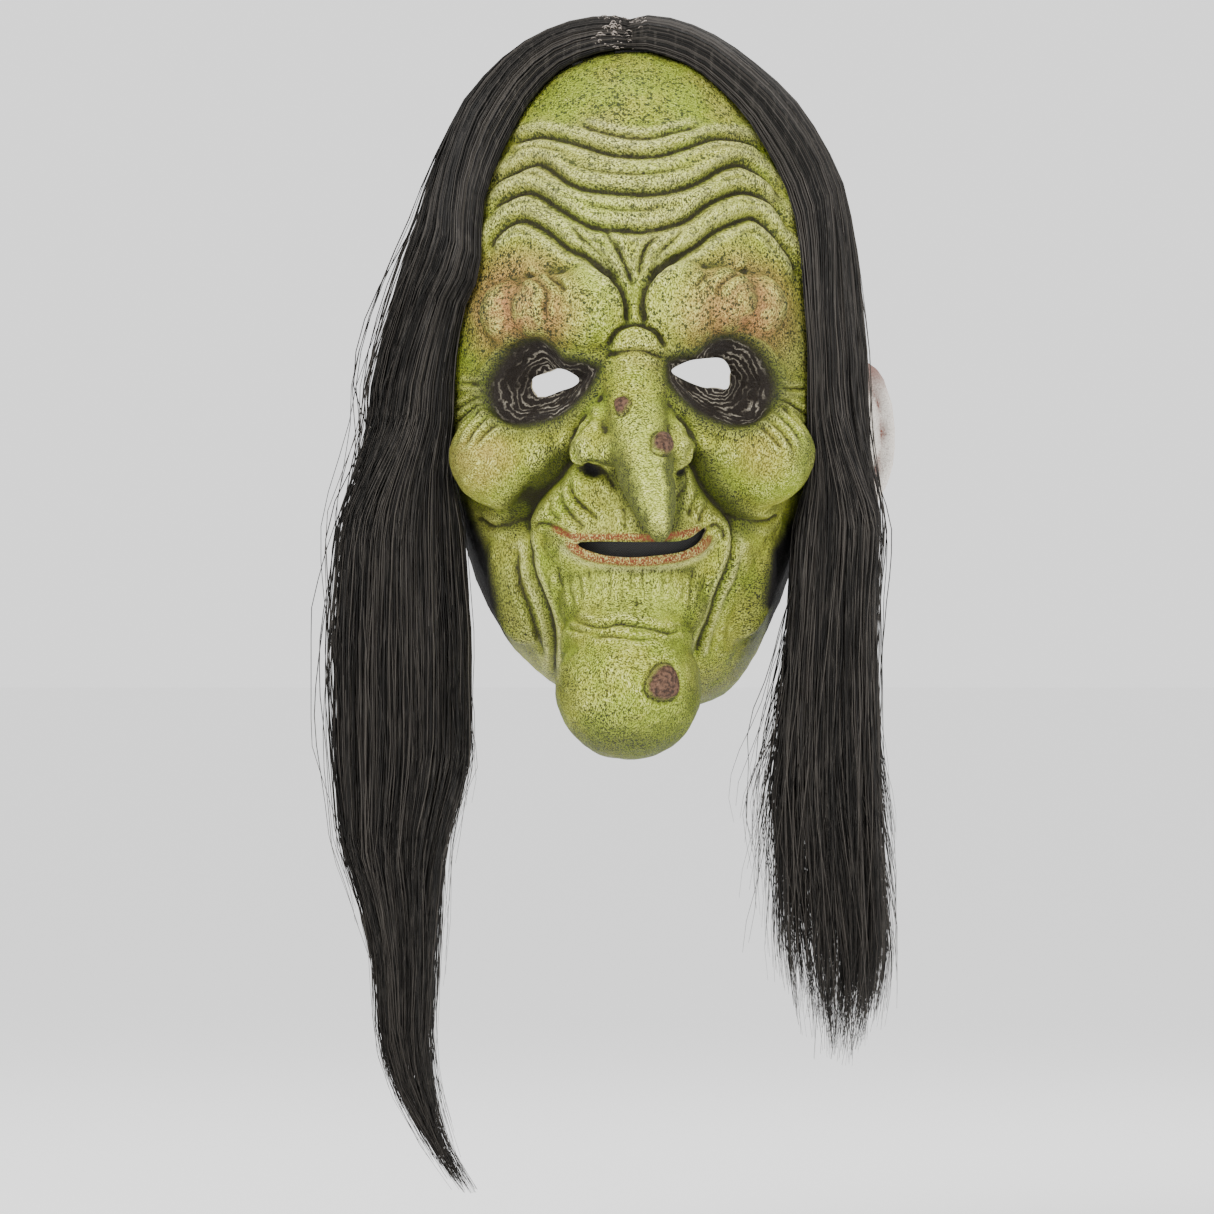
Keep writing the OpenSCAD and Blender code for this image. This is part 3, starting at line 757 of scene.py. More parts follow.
# Openings: the eye holes and the mouth slot, then the open back.
EYE_LEFT = [
    (-40.8, -2.2), (-39.6, 2), (-35.3, 4.5), (-31.2, 5.8), (-26.9, 5.4), (-22.8, 3.3),
    (-20.6, 1.2), (-23.6, -1.4), (-28.6, -3), (-32.8, -4.7), (-38, -5.6),
]
EYE_RIGHT = [
    (14.2, 4.5), (17.7, 6.6), (22.8, 8.8), (27.8, 9.6), (34.6, 10.2), (37.9, 7.9),
    (39.4, 2.8), (38.4, -1.8), (34.6, -2.2), (27.8, -1.4), (21, 1.2),
]
MOUTH_SLOT = MOUTH_TOP + MOUTH_LOW[::-1]
NOSE_TIP_Y = -108  # nothing in front of this is cut
SNAP = 2.6  # how far a point at an opening may be moved to its outline
edit = bmesh.new()
edit.from_mesh(skin.data)
edit.verts.ensure_lookup_table()
for hole, depth_limit in ((EYE_LEFT, -40), (EYE_RIGHT, -40), (MOUTH_SLOT, -60)):
    co = np.array([v.co for v in edit.verts])
    normal_y = np.array([v.normal.y for v in edit.verts])
    within = inside(hole, co[:, 0], co[:, 2]) & (normal_y < 0.2)
    within &= (co[:, 1] < depth_limit) & (co[:, 1] > NOSE_TIP_Y)
    gone = [v for v, hit in zip(edit.verts, within) if hit]
    bmesh.ops.delete(edit, geom=gone, context="VERTS")
    edit.verts.ensure_lookup_table()
    loop = smooth_line(list(hole) + [hole[0]], 12)
    for v in edit.verts:
        if v.is_boundary and hole[0][0] - 60 < v.co.x < hole[0][0] + 60:
            gaps = np.hypot(loop[:, 0] - v.co.x, loop[:, 1] - v.co.z)
            k = int(np.argmin(gaps))
            if gaps[k] < SNAP:
                v.co.x, v.co.z = loop[k]
bmesh.ops.remove_doubles(edit, verts=[v for v in edit.verts if v.is_boundary], dist=0.35)
rim = [v for v in edit.verts if v.is_boundary]
for _ in range(4):
    middles = []
    for v in rim:
        beyond = [e.other_vert(v).co for e in v.link_edges if e.is_boundary]
        middles.append((v.co * 2 + beyond[0] + beyond[1]) / 4 if len(beyond) == 2 else v.co.copy())
    for v, middle in zip(rim, middles):
        v.co = middle
for spot, outward in (((0, 37.5, 0), (0, 1, 0)), ((0, -19, -129), (0, 0.88, -0.475))):
    bmesh.ops.bisect_plane(
        edit, geom=edit.verts[:] + edit.edges[:] + edit.faces[:], dist=1e-4,
        plane_co=spot, plane_no=outward, clear_outer=True,
    )
edit.to_mesh(skin.data)
edit.free()
skin.data.update()

# The wall: turned outward, given its thickness, and thinned on the unseen inside. The outside
# is thinned first, where it is smooth, and most where hair covers it.
turn_outward(skin)
OUTSIDE_TRIANGLES = 152000
SKIN_TRIANGLES = 192000
UNDER_HAIR_Y = -35
co = points_of(skin)
hidden = skin.vertex_groups.new(name="hidden")
hidden.add(np.flatnonzero(co[:, 1] > UNDER_HAIR_Y).tolist(), 1.0, "REPLACE")
hidden.add(np.flatnonzero(co[:, 1] <= UNDER_HAIR_Y).tolist(), 0.12, "REPLACE")
at_edge = np.zeros(len(co), bool)
for hole in (EYE_LEFT, EYE_RIGHT, MOUTH_SLOT):
    rim = beside(smooth_line(list(hole) + [hole[0]]), co[:, 0], co[:, 2], 3)[0]
    at_edge[rim] = True
hidden.remove(np.flatnonzero(at_edge).tolist())
share = OUTSIDE_TRIANGLES / (2 * len(skin.data.polygons))
apply(skin, "DECIMATE", ratio=share, vertex_group="hidden", vertex_group_factor=1)
skin.vertex_groups.clear()
skin.vertex_groups.new(name="unseen")
apply(skin, "SOLIDIFY", thickness=WALL, offset=-1, shell_vertex_group="unseen")
share = SKIN_TRIANGLES / sum(len(p.vertices) - 2 for p in skin.data.polygons)
apply(skin, "DECIMATE", ratio=share, vertex_group="unseen", vertex_group_factor=1000)
inner = np.zeros(len(skin.data.vertices))
for v in skin.data.vertices:
    for g in v.groups:
        inner[v.index] = g.weight
skin.vertex_groups.clear()
set_points(skin, points_of(skin) * 0.001)
layer = skin.data.attributes.new("lining", "FLOAT", "POINT")
layer.data.foreach_set("value", inner.astype(np.float32))
choose(skin)
bpy.ops.object.shade_smooth()


# Painted latex: a yellow-green coat, dark speckles, a brown-black wash in the folds which also stands
# in for their shade, pink above the eyes, bone-coloured dry brushing, dull red lips and brown warts,
# with painted shade on the hollows and turned-away sides, painted highlights on the crests, nose,
# lips and brow, and the blind nostrils painted black for their depth.
def attribute(place, name):
    return place.node("ShaderNodeAttribute", {"attribute_name": name}, out="Fac")


latex, shader, place = new_finish("painted_latex")
px, py, pz = place.axes()
GREEN = (0.375, 0.400, 0.026)
LIME = (0.300, 0.390, 0.014)
PALE_GREEN = (0.64, 0.70, 0.115)
KHAKI = (0.400, 0.360, 0.090)
OLIVE = (0.050, 0.062, 0.006)
GRAIN_DARK = (0.014, 0.014, 0.004)
SPECK = (0.011, 0.020, 0.006)
WASH_AND_SHADE_BROWN = (0.020, 0.014, 0.008)
SOCKET_BROWN = (0.013, 0.009, 0.006)
BLACK = (0.007, 0.006, 0.0055)
BONE = (0.78, 0.77, 0.31)
LID_GREY = (0.360, 0.325, 0.255)
BLUSH = (0.450, 0.175, 0.075)
LIP_RED = (0.175, 0.032, 0.013)
WART = (0.150, 0.078, 0.046)
WART_DARK = (0.030, 0.015, 0.009)
EAR_FLESH = (0.86, 0.80, 0.72)
EAR_RED = (0.16, 0.035, 0.018)
RAW_LATEX = (0.62, 0.55, 0.36)


def patch(cx, cy, cz, rx, rz):
    """1 at the middle of a soft round patch on the face, falling to 0 at its edge."""
    dx = (px - cx) * (1 / rx)
    dz = (pz - cz) * (1 / rz)
    far = dx * dx + dz * dz
    return (1 - far.ramp(0.0, 1.0)) * (1 - py.ramp(cy, cy + 0.02))


mottle = place.noise(30, 4, 0.6)
tint = place.stretched(1, 1, 1.3).noise(17, 3, 0.55)
fine_mottle = place.noise(170, 4, 0.65)
colour = mottle.ramp(0.42, 0.60).between(LIME, GREEN)
colour = (tint.ramp(0.50, 0.66) * 0.60).between(colour, KHAKI)
colour = ((mottle * 0.5 + fine_mottle * 0.5).ramp(0.50, 0.66) * 0.50).between(colour, PALE_GREEN)
blush = patch(-0.044, -0.055, 0.030, 0.030, 0.031) + patch(0.042, -0.055, 0.029, 0.030, 0.030)
blush = blush + patch(-0.062, -0.045, -0.030, 0.020, 0.018) * 0.5
blush = blush + patch(0.052, -0.045, -0.028, 0.018, 0.014) * 0.35
colour = (blush * (fine_mottle * 0.5 + 0.58)).clamp().between(colour, BLUSH)
# Painted highlight: pale patches where the light falls on the nose, the lips and the brow.
lit = patch(0.006, -0.05, -0.035, 0.024, 0.040).top(patch(-0.002, -0.05, -0.078, 0.036, 0.022))
lit = lit.top(patch(0.002, -0.05, 0.060, 0.066, 0.050) * 0.7)
colour = (lit * 0.45).between(colour, PALE_GREEN)
# Scratchy grain: short dark strokes, lying one way here and another way there.
long_up = place.stretched(1.3, 1.3, 0.7).noise(1450, 3, 0.70)
long_across = place.stretched(0.74, 1.3, 1.3).noise(1450, 3, 0.70)
way = place.noise(26, 1, 0.5).ramp(0.47, 0.53)
strokes = long_up * way + long_across * (1 - way)
grain = strokes.ramp(0.460, 0.515)
airbrush_and_shade_mark = attribute(place, "airbrush_and_shade")
crest_mark = attribute(place, "crest")
wash_and_shade_mark = attribute(place, "wash_and_shade")
bone_mark = attribute(place, "bone")
sockets = attribute(place, "socket")
# Painted highlight, partly dry brushing: the crests are pale between the dark strokes and glint
# bone-coloured, but not in the painted shade or the pink.
colour = (crest_mark * 0.40 * grain).clamp().between(colour, PALE_GREEN)
glint = strokes.ramp(0.54, 0.60) * (crest_mark * 0.50 + 0.20) * (1 - airbrush_and_shade_mark)
glint = glint * (1 - blush * 0.6).clamp()
colour = glint.clamp().between(colour, BONE)
# Painted shade and airbrushing: olive over the hollows and over the sides that turn away.
colour = (airbrush_and_shade_mark * 0.95).clamp().between(colour, OLIVE)
# The dark strokes, fainter where worn and darker in the painted shade.
worn = place.noise(45, 3, 0.6).ramp(0.35, 0.65) * 0.34 + 0.60
colour = ((1 - grain) * (airbrush_and_shade_mark * 0.25 + worn)).clamp().between(colour, GRAIN_DARK)
# Speckles of many sizes, thick on the forehead and thin further down.
cell = place.cells(900)
size_pick = Value(place.tree, cell.socket.node.outputs["Color"]).axes()[0]
thick_here = pz.ramp(-0.045, 0.055) * 0.46 + 0.24
limit = size_pick * size_pick * thick_here * 1.25 * place.noise(60, 2, 0.5).ramp(0.22, 0.48)
speck = limit.math("GREATER_THAN", limit, cell)
colour = (speck * 0.85).between(colour, SPECK)
brushed = (strokes.ramp(0.40, 0.52) * bone_mark).clamp()
colour = (brushed * 0.55 * (1 - sockets)).clamp().between(colour, BONE)
# The wash, which also stands in for the shade in the folds and round the warts: olive, with a dark
# brown core in its lines.
colour = (wash_and_shade_mark * 0.55).between(colour, OLIVE)
line_mark = wash_and_shade_mark.ramp(0.50, 1.0)
colour = (line_mark * (grain * -0.2 + 1)).clamp().between(colour, WASH_AND_SHADE_BROWN)
colour = sockets.between(colour, SOCKET_BROWN)
# The lids' fine wrinkles run round the eye; their tops are brushed grey.
swirl = attribute(place, "lid") * 3.7 + place.noise(85, 4, 0.6) * 30
lid_line = swirl.math("SINE", swirl).ramp(0.30, 1.0) * attribute(place, "silver")
worn_line = place.noise(110, 3, 0.6).ramp(0.42, 0.60)
brushed = lid_line * worn_line * (strokes.ramp(0.40, 0.56) * 0.6 + 0.4)
colour = brushed.clamp().between(colour, LID_GREY)
lip_mark = attribute(place, "lips").ramp(0.22, 0.80)
colour = (lip_mark * (1 - strokes.ramp(0.47, 0.60) * 0.6)).between(colour, LIP_RED)
wart_mark = attribute(place, "wart")
wart_colour = place.noise(700, 3, 0.6).ramp(0.35, 0.65).between(WART_DARK, WART)
colour = wart_mark.between(colour, wart_colour)
# Painted shade: the blind nostril hollows are painted black for the dark of an open nostril.
colour = attribute(place, "nostril").between(colour, BLACK)
# The sides are airbrushed black towards the rear; the ears are flesh with red in their folds.
low_down = 1 - pz.ramp(-0.122, -0.088)
side_black = (py + mottle * 0.02 - low_down * 0.05).ramp(-0.030, -0.012).top(attribute(place, "jaw"))
colour = side_black.between(colour, BLACK)
ear_colour = (wash_and_shade_mark * 1.3 + strokes.ramp(0.52, 0.62) * 0.35).clamp().between(EAR_FLESH, EAR_RED)
ear_colour = (pz.ramp(-0.006, 0.008) * 0.8).between(ear_colour, EAR_RED)
colour = attribute(place, "ear").between(colour, ear_colour)
colour = attribute(place, "lining").ramp(0.4, 0.6).between(colour, RAW_LATEX)
grain_cells = place.cells(850, "DISTANCE_TO_EDGE")
height_map = grain_cells.ramp(0.0, 0.14) * 0.5 + strokes * 1.1 + fine_mottle * 0.6 + lid_line * 0.9
wire(
    shader,
    Base_Color=colour,
    Roughness=(grain * 0.12 + 0.5 + side_black * 0.35),
    Normal=height_map.bump(0.0009, 0.6),
    Specular_IOR_Level=0.25,
)
skin.data.materials.clear()
skin.data.materials.append(latex)
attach(skin, "mask")
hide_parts("latex_skin")


# ---------------------------------------------------------------- Hair
# Black synthetic hair, sewn in at the parting. It lies over the crown, falls past the ears
# and hangs in two loose locks. Each piece of hair bends from the mask to its lock below the
# ear. Lengths in this section are in millimetres.
LEFT_HAIRLINE = dict(  # the front edge: degrees round the head from the parting, then y
    psi=[0, 8, 19, 28, 36, 43, 50, 57, 63, 69, 74, 82, 90],
    y=[-34, -34, -34, -40, -48, -53, -56, -62, -67, -68, -65, -64, -63],
)
RIGHT_HAIRLINE = dict(
    psi=[0, 10, 18, 26, 35, 43, 50, 57, 67, 77, 90],
    y=[-34, -37, -38, -42, -44, -48, -48, -51, -58, -62, -63],
)
LEFT_THICK = dict(  # how thick the hair lies on the latex
    psi=[0, 6, 12, 28, 41, 53, 64, 77, 90], t=[12.2, 12.6, 14.2, 17, 17.4, 14.4, 12, 14, 19],
)
RIGHT_THICK = dict(psi=[0, 29, 43, 57, 67, 76, 90], t=[12.6, 13.6, 16, 16, 13, 10.8, 10.5])
HAIR_REAR_TOP = 30
HAIR_REAR_EAR = -15
HAIR_FLOOR = 2.0  # height of the lowest hairs over the latex
LEFT_EDGES = dict(  # a hanging lock's two edges seen from the front: height, then x
    z=[20, 0, -30, -50, -102, -150, -186, -202, -230, -262, -282, -310, -324],
    inner=[68, 70, 74, 70, 67, 67, 77, 79, 81, 83, 81, 73, 63],
    outer=[98, 103, 110, 112, 115, 115, 113, 107, 101, 99, 93, 77, 66],
)
RIGHT_EDGES = dict(
    z=[20, 0, -28, -54, -86, -134, -166, -198, -226, -250, -266, -276],
    inner=[69, 70, 72, 67, 65, 61, 59, 61, 63, 67, 73, 76],
    outer=[92, 94, 95, 97, 95, 96, 97, 98, 99, 95, 90, 84],
)
LOCK_MIDDLE_Y = -42
LOCK_DEEP = 17
LOCK_JOIN = 62  # height over which the hair passes from the crown into its lock
CROWN_STEPS = 18
HANG_STEPS = 18
STRANDS = 900  # in each of the two layers of a front or rear half
HAIR_R = 0.27
WISPS = 27
MASS_SIDES = 20
HAIR_SIDES = (-129, 106)  # no stray hair goes past these
LEFT_LOCK = dict(  # where the lock ends, and how many of its hairs stray and how far
    end=-324, mass_short=58, loose_share=0.10, wisp_stray=1.1, bowed_share=0.24,
    bow_far=3.3, bow_most=18, away_far=1.5, away_most=6, splay=1.3,
)
RIGHT_LOCK = dict(
    end=-276, mass_short=66, loose_share=0.26, wisp_stray=3.4, bowed_share=0.13,
    bow_far=1.8, bow_most=8, away_far=4.2, away_most=19, splay=3.6,
)


def crown_point(side, psi, y, h):
    """On the crown at h over the latex; psi is the turn from the parting, in degrees."""
    k = np.sqrt(np.clip(1 - (np.clip(-y, 0, None) / (FACE_DEPTH + h)) ** (2 / FLATNESS), 0, 1))
    a = np.radians(psi)
    return side * (HEAD_HALF_W + h) * k * np.sin(a), y, (HEAD_TOP + h) * k * np.cos(a)


def lock_edges(edges, z):
    """The inner and the outer edge of a hanging lock at these heights."""
    return [np.interp(z, edges["z"][::-1], edges[name][::-1]) for name in ("inner", "outer")]


def hair_path(side, edges, deep, layer, tip, start=-1.5, wisp=None):
    """Points along one hair. deep runs from 0 at the front to 1 at the rear and layer from 0
    against the head to 1 outside; both may be arrays, and tip is the height of its end.
    wisp gives the deep and layer that its end is drawn to, and how much."""
    deep, layer, tip = (np.asarray(v, float)[..., None] for v in (deep, layer, tip))
    psi = np.linspace(start, 90, CROWN_STEPS)
    line, lie = (LEFT_HAIRLINE, LEFT_THICK) if side < 0 else (RIGHT_HAIRLINE, RIGHT_THICK)
    front = np.interp(psi, line["psi"], line["y"])
    y = mix(front, mix(HAIR_REAR_TOP, HAIR_REAR_EAR, ease(psi / 90)), deep)
    thick = np.interp(psi, lie["psi"], lie["t"]) * mix(0.8, 1, ease((psi + 1.5) / 7))
    cx, cy, cz = crown_point(side, psi, y, mix(HAIR_FLOOR, thick, layer))
    top_x, top_y, top_z = cx[..., -1:], cy[..., -1:], cz[..., -1:]
    fall = np.linspace(0, 1, HANG_STEPS + 1)[1:]
    z = mix(top_z, tip, fall)
    inner, outer = lock_edges(edges, z)
    girth = np.clip((outer - inner) / 30, 0.25, 1)
    join = ease(-z / LOCK_JOIN)
    if wisp is not None:
        wisp_deep, wisp_layer, hold = (v[..., None] for v in wisp)
        pull = ease((fall - 0.3) / 0.7) * hold
        deep, layer = mix(deep, wisp_deep, pull), mix(layer, wisp_layer, pull)
    x = mix(top_x, side * mix(inner, outer, layer), join)
    y = mix(top_y, LOCK_MIDDLE_Y + LOCK_DEEP * girth * (2 * deep - 1), join)
    crown_shape = y.shape[:-1] + cx.shape[-1:]
    return np.stack([
        np.concatenate([np.broadcast_to(crown, crown_shape), hanging], -1)
        for crown, hanging in ((cx, x), (cy, y), (cz, z))
    ], -1)


def tubes(name, paths, radii, sides, tones):
    """Closed tubes along many paths of equal length, as one mesh."""
    paths = np.asarray(paths, float)
    count, steps = paths.shape[:2]
    along = np.gradient(paths, axis=1)
    along /= np.linalg.norm(along, axis=2, keepdims=True) + 1e-9
    side_way = np.cross(along, np.array([0.0, 1.0, 0.05]))
    side_way /= np.linalg.norm(side_way, axis=2, keepdims=True) + 1e-9
    other_way = np.cross(along, side_way)
    turn = np.arange(sides) * 2 * math.pi / sides
    ring = side_way[:, :, None] * np.cos(turn)[:, None]
    ring = ring + other_way[:, :, None] * np.sin(turn)[:, None]
    verts = paths[:, :, None] + ring * radii[:, :, None, None]
    verts = verts.reshape(-1, 3) * 0.001
    i = np.arange(count)[:, None, None] * steps * sides
    j = np.arange(steps - 1)[None, :, None] * sides
    k = np.arange(sides)[None, None, :]
    k2 = (k + 1) % sides
    quads = np.stack([i + j + k, i + j + k2, i + j + sides + k2, i + j + sides + k], -1).reshape(-1, 4)
    first = np.arange(count)[:, None] * steps * sides
    caps = np.concatenate([
        first + np.arange(sides)[None, ::-1], first + (steps - 1) * sides + np.arange(sides)[None],
    ])
    mesh = bpy.data.meshes.new(name)
    corner = np.concatenate([quads.ravel(), caps.ravel()])
    sizes = np.concatenate([np.full(len(quads), 4), np.full(len(caps), sides)])
    starts = np.concatenate([[0], np.cumsum(sizes)[:-1]])
    mesh.vertices.add(len(verts))
    mesh.vertices.foreach_set("co", verts.astype(np.float32).ravel())
    mesh.loops.add(len(corner))
    mesh.loops.foreach_set("vertex_index", corner.astype(np.int32))
    mesh.polygons.add(len(sizes))
    mesh.polygons.foreach_set("loop_start", starts.astype(np.int32))
    mesh.polygons.foreach_set("use_smooth", np.ones(len(sizes), bool))
    mesh.update(calc_edges=True)
    mesh.validate()
    layer = mesh.attributes.new("tone", "FLOAT", "POINT")
    layer.data.foreach_set("value", np.repeat(tones, steps * sides).astype(np.float32))
    piece = bpy.data.objects.new(name, mesh)
    bpy.context.scene.collection.objects.link(piece)
    return piece


# Hair: almost black, each hair a little browner or greyer than the next, with a soft sheen and
# lighter streaks along it that are partly a painted highlight.
hair, shader, place = new_finish("black_hair")
tone = attribute(place, "tone")
colour = tone.ramp(0.35, 1.0).between((0.0105, 0.0098, 0.0088), (0.060, 0.053, 0.046))
streak = place.stretched(1, 1, 0.12).noise(520, 3, 0.6)
colour = (streak.ramp(0.50, 0.72) * 0.5).between(colour, (0.085, 0.076, 0.066))
wire(
    shader,
    Base_Color=colour,
    Roughness=(streak * 0.2 + 0.42),
    Normal=streak.bump(0.0003, 0.5),
    Specular_IOR_Level=0.16,
)

random = np.random.default_rng(11)


def squarish(turn):
    """Points at these angles round a square with rounded corners."""
    size = (np.abs(np.cos(turn)) ** 6 + np.abs(np.sin(turn)) ** 6) ** (1 / 6)
    return np.cos(turn) / size, np.sin(turn) / size


def waves(count, steps, size):
    """Slow sideways wandering, more towards the tips."""
    t = np.linspace(0, 1, steps)
    out = np.zeros((count, steps, 2))
    for turns, share in ((1.1, 1.0), (2.7, 0.55), (6.1, 0.25), (11.3, 0.12)):
        phase = random.uniform(0, 2 * math.pi, (count, 1, 2))
        size_here = random.normal(0, 1, (count, 1, 2)) * share
        out += size_here * np.sin(2 * math.pi * turns * t[None, :, None] + phase)
    return out * size * (t[None, :, None] ** 1.5)


for side_name, side, edges, lock in (
    ("left", -1, LEFT_EDGES, LEFT_LOCK), ("right", 1, RIGHT_EDGES, RIGHT_LOCK),
):
    end = lock["end"]
    for half_name, low, high in (("front", 0.0, 0.5), ("rear", 0.5, 1.0)):
        # The dark mass under the loose hairs, one closed form from the parting to the lock.
        ux, uy = squarish(np.linspace(0, 2 * math.pi, MASS_SIDES, endpoint=False))
        layer = 0.45 + 0.36 * ux
        deep = mix(low, high, 0.5 + 0.40 * uy)
        foot = np.full(MASS_SIDES, end + lock["mass_short"])
        path = hair_path(side, edges, deep, layer, foot, 0.4)
        middle = path.mean(0, keepdims=True)
        t = np.linspace(0, 1, path.shape[1])
        slim = np.interp(t, [0, 0.03, 0.75, 0.9, 1], [0.6, 1, 0.92, 0.6, 0.12])[None, :, None]
        path = middle + (path - middle) * slim
        rings = path.transpose(1, 0, 2)
        core_mesh = bpy.data.meshes.new(f"hair_{side_name}_{half_name}_mass")
        count = rings.shape[0]
        around = [(b, (b + 1) % MASS_SIDES) for b in range(MASS_SIDES)]
        faces = [
            (a + b, a + c, a + MASS_SIDES + c, a + MASS_SIDES + b)
            for a in range(0, (count - 1) * MASS_SIDES, MASS_SIDES) for b, c in around
        ]
        last = (count - 1) * MASS_SIDES
        faces += [tuple(range(MASS_SIDES - 1, -1, -1)), tuple(range(last, last + MASS_SIDES))]
        core_mesh.from_pydata((rings.reshape(-1, 3) * 0.001).tolist(), [], faces)
        core = bpy.data.objects.new(core_mesh.name, core_mesh)
        bpy.context.scene.collection.objects.link(core)
        turn_outward(core)
        apply(core, "SUBSURF", levels=2, render_levels=2)
        bpy.ops.object.shade_smooth()
        core.data.materials.append(hair)
        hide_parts(f"weft_{side_name}_{half_name}", f"lock_{side_name}_{half_name}")
        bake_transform(core)

        for part in ("under", "over"):
            # Hairs sit on the outside of the mass; the outer part holds the stray ones.
            n = STRANDS
            ux, uy = squarish(random.uniform(0, 2 * math.pi, n))
            reach = random.uniform(*((0.72, 1.0) if part == "under" else (0.9, 1.07)), n)
            layer = 0.5 + 0.5 * reach * ux
            deep = mix(low, high, 0.5 + 0.5 * reach * uy)
            buried = (layer < 0.2) & (random.uniform(0, 1, n) < 0.35)
            layer[buried] = random.uniform(0.55, 1.03, buried.sum())
            length = random.uniform(0, 1, n)
            across = (np.clip(layer, 0, 0.99) * 9).astype(int)
            back = (np.clip((deep - low) / (high - low), 0, 0.99) * 3).astype(int)
            wisp = across * 3 + back
            if side < 0:
                tip = end + 14 + 140 * length**1.3 * mix(0.75, 1.1, layer)
                tip += random.uniform(0, 22, WISPS)[wisp]
                tip[: n // 12] = end + random.uniform(0, 18, n // 12)
            else:
                tip = end + 3 + 84 * length**1.5 + random.uniform(0, 26, WISPS)[wisp]
                tip += 60 * (layer - 0.6) ** 2
            turned = (random.uniform(0, 1, n) < lock["loose_share"]) & (layer < 0.42)
            loose = np.flatnonzero(turned & (part == "over"))
            tip[loose] = random.uniform(-232, -165, len(loose))
            # Tips gather into wisps, and each wisp strays a little its own way.
            share = np.maximum(np.bincount(wisp, minlength=WISPS), 1)
            wisp_deep = (np.bincount(wisp, deep, WISPS) / share)[wisp]
            wisp_layer = (np.bincount(wisp, layer, WISPS) / share)[wisp]
            hold = random.uniform(0.2, 0.95, n)
            paths = hair_path(side, edges, deep, layer, tip, wisp=(wisp_deep, wisp_layer, hold))
            steps = paths.shape[1]
            wander = waves(n, steps, 1.25 if part == "under" else 1.7)
            inner, outer = lock_edges(edges, paths[:, :, 2])
            wander *= np.clip((outer - inner) / 24, 0.35, 1)[:, :, None]
            paths[:, :, :2] += wander
            t = np.linspace(0, 1, steps)
            stray_way = random.normal(0, lock["wisp_stray"], WISPS)[wisp][:, None]
            paths[:, :, 0] += ease((t - 0.78) / 0.22)[None] * stray_way
            if part == "over":
                stray = np.flatnonzero(random.uniform(0, 1, n) < lock["bowed_share"])
                start = random.uniform(0.30, 0.62, len(stray))[:, None]
                span = random.uniform(0.26, 0.44, len(stray))[:, None]
                bow = bell((t[None] - start - span / 2) / (span / 2.2))
                far = random.gamma(1.3, lock["bow_far"], len(stray))[:, None]
                paths[stray, :, 0] += side * np.clip(far * bow, 0, lock["bow_most"])
                # The shorter hairs of the inner edge turn away towards the face, and curl.
                away = ease((t[None] - random.uniform(0.62, 0.86, len(loose))[:, None]) / 0.30)
                reach_in = random.gamma(1.8, lock["away_far"], len(loose))[:, None]
                paths[loose, :, 0] -= side * away * np.clip(reach_in, 0, lock["away_most"])
                curl_rate = random.uniform(34, 60, (len(loose), 1))
                curl_start = random.uniform(0, 6, (len(loose), 1))
                paths[loose, :, 0] += away * np.sin(t[None] * curl_rate + curl_start) * 1.3
                splay = random.normal(0, lock["splay"], (n, 1))
                paths[:, :, 0] += ease((t[None] - 0.84) / 0.16) * splay
            paths[:, :, 0] = np.clip(paths[:, :, 0], *HAIR_SIDES)
            slim = np.interp(t, [0, 0.05, 0.8, 1], [0.8, 1, 0.9, 0.25])
            thick = HAIR_R * random.uniform(0.75, 1.25, (n, 1)) * slim[None]
            tones = random.uniform(0, 1, n)
            strands = tubes(f"hair_{side_name}_{half_name}_{part}", paths, thick, 3, tones)
            strands.data.materials.append(hair)
            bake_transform(strands)


# ---------------------------------------------------------------- Parting tape and weft tracks
# A cotton tape is glued along the crown and each side's hair is machine-sewn to a narrow
# track beside it. Pale hand stitches hold the parting shut over the hair.
TAPE_WIDE = 14
TRACK_PSI = (14, 17)
CROWN_GLUE = 0.35
TAPE_THICK = 0.7
TAPE_FRONT = -31
TAPE_REAR = 30


def new_grid(name, across, along):
    """A flat grid to be bent into shape, and its points, which run from -1 to 1."""
    bpy.ops.mesh.primitive_grid_add(x_subdivisions=across, y_subdivisions=along, size=2)
    grid = bpy.context.object
    grid.name = name
    return grid, points_of(grid)


def sewn_strip(name, side, psi_low, psi_high, finish):
    """A strip of tape that lies on the crown between two angles from the parting."""
    strip, flat = new_grid(name, 8, 44)
    psi = mix(psi_low, psi_high, (flat[:, 0] + 1) / 2)
    run = mix(TAPE_FRONT, TAPE_REAR, (flat[:, 1] + 1) / 2)
    ripple = 0.12 * np.sin(run * 1.9 + psi)
    co = np.stack(crown_point(side, psi, run, CROWN_GLUE + TAPE_THICK + ripple), 1)
    set_points(strip, co * 0.001)
    if side < 0:
        bpy.ops.object.mode_set(mode="EDIT")
        bpy.ops.mesh.select_all(action="SELECT")
        bpy.ops.mesh.flip_normals()
        bpy.ops.object.mode_set(mode="OBJECT")
    apply(strip, "SOLIDIFY", thickness=TAPE_THICK * 0.001, offset=-1)
    apply(strip, "BEVEL", width=0.00015, segments=2, limit_method="ANGLE")
    bpy.ops.object.shade_smooth()
    strip.data.materials.append(finish)
    return strip


def weave(warp, weft):
    """The height of a plain weave, from its threads' places in radians."""
    return warp.math("SINE", warp) * weft.math("SINE", weft) * 0.5 + 0.5


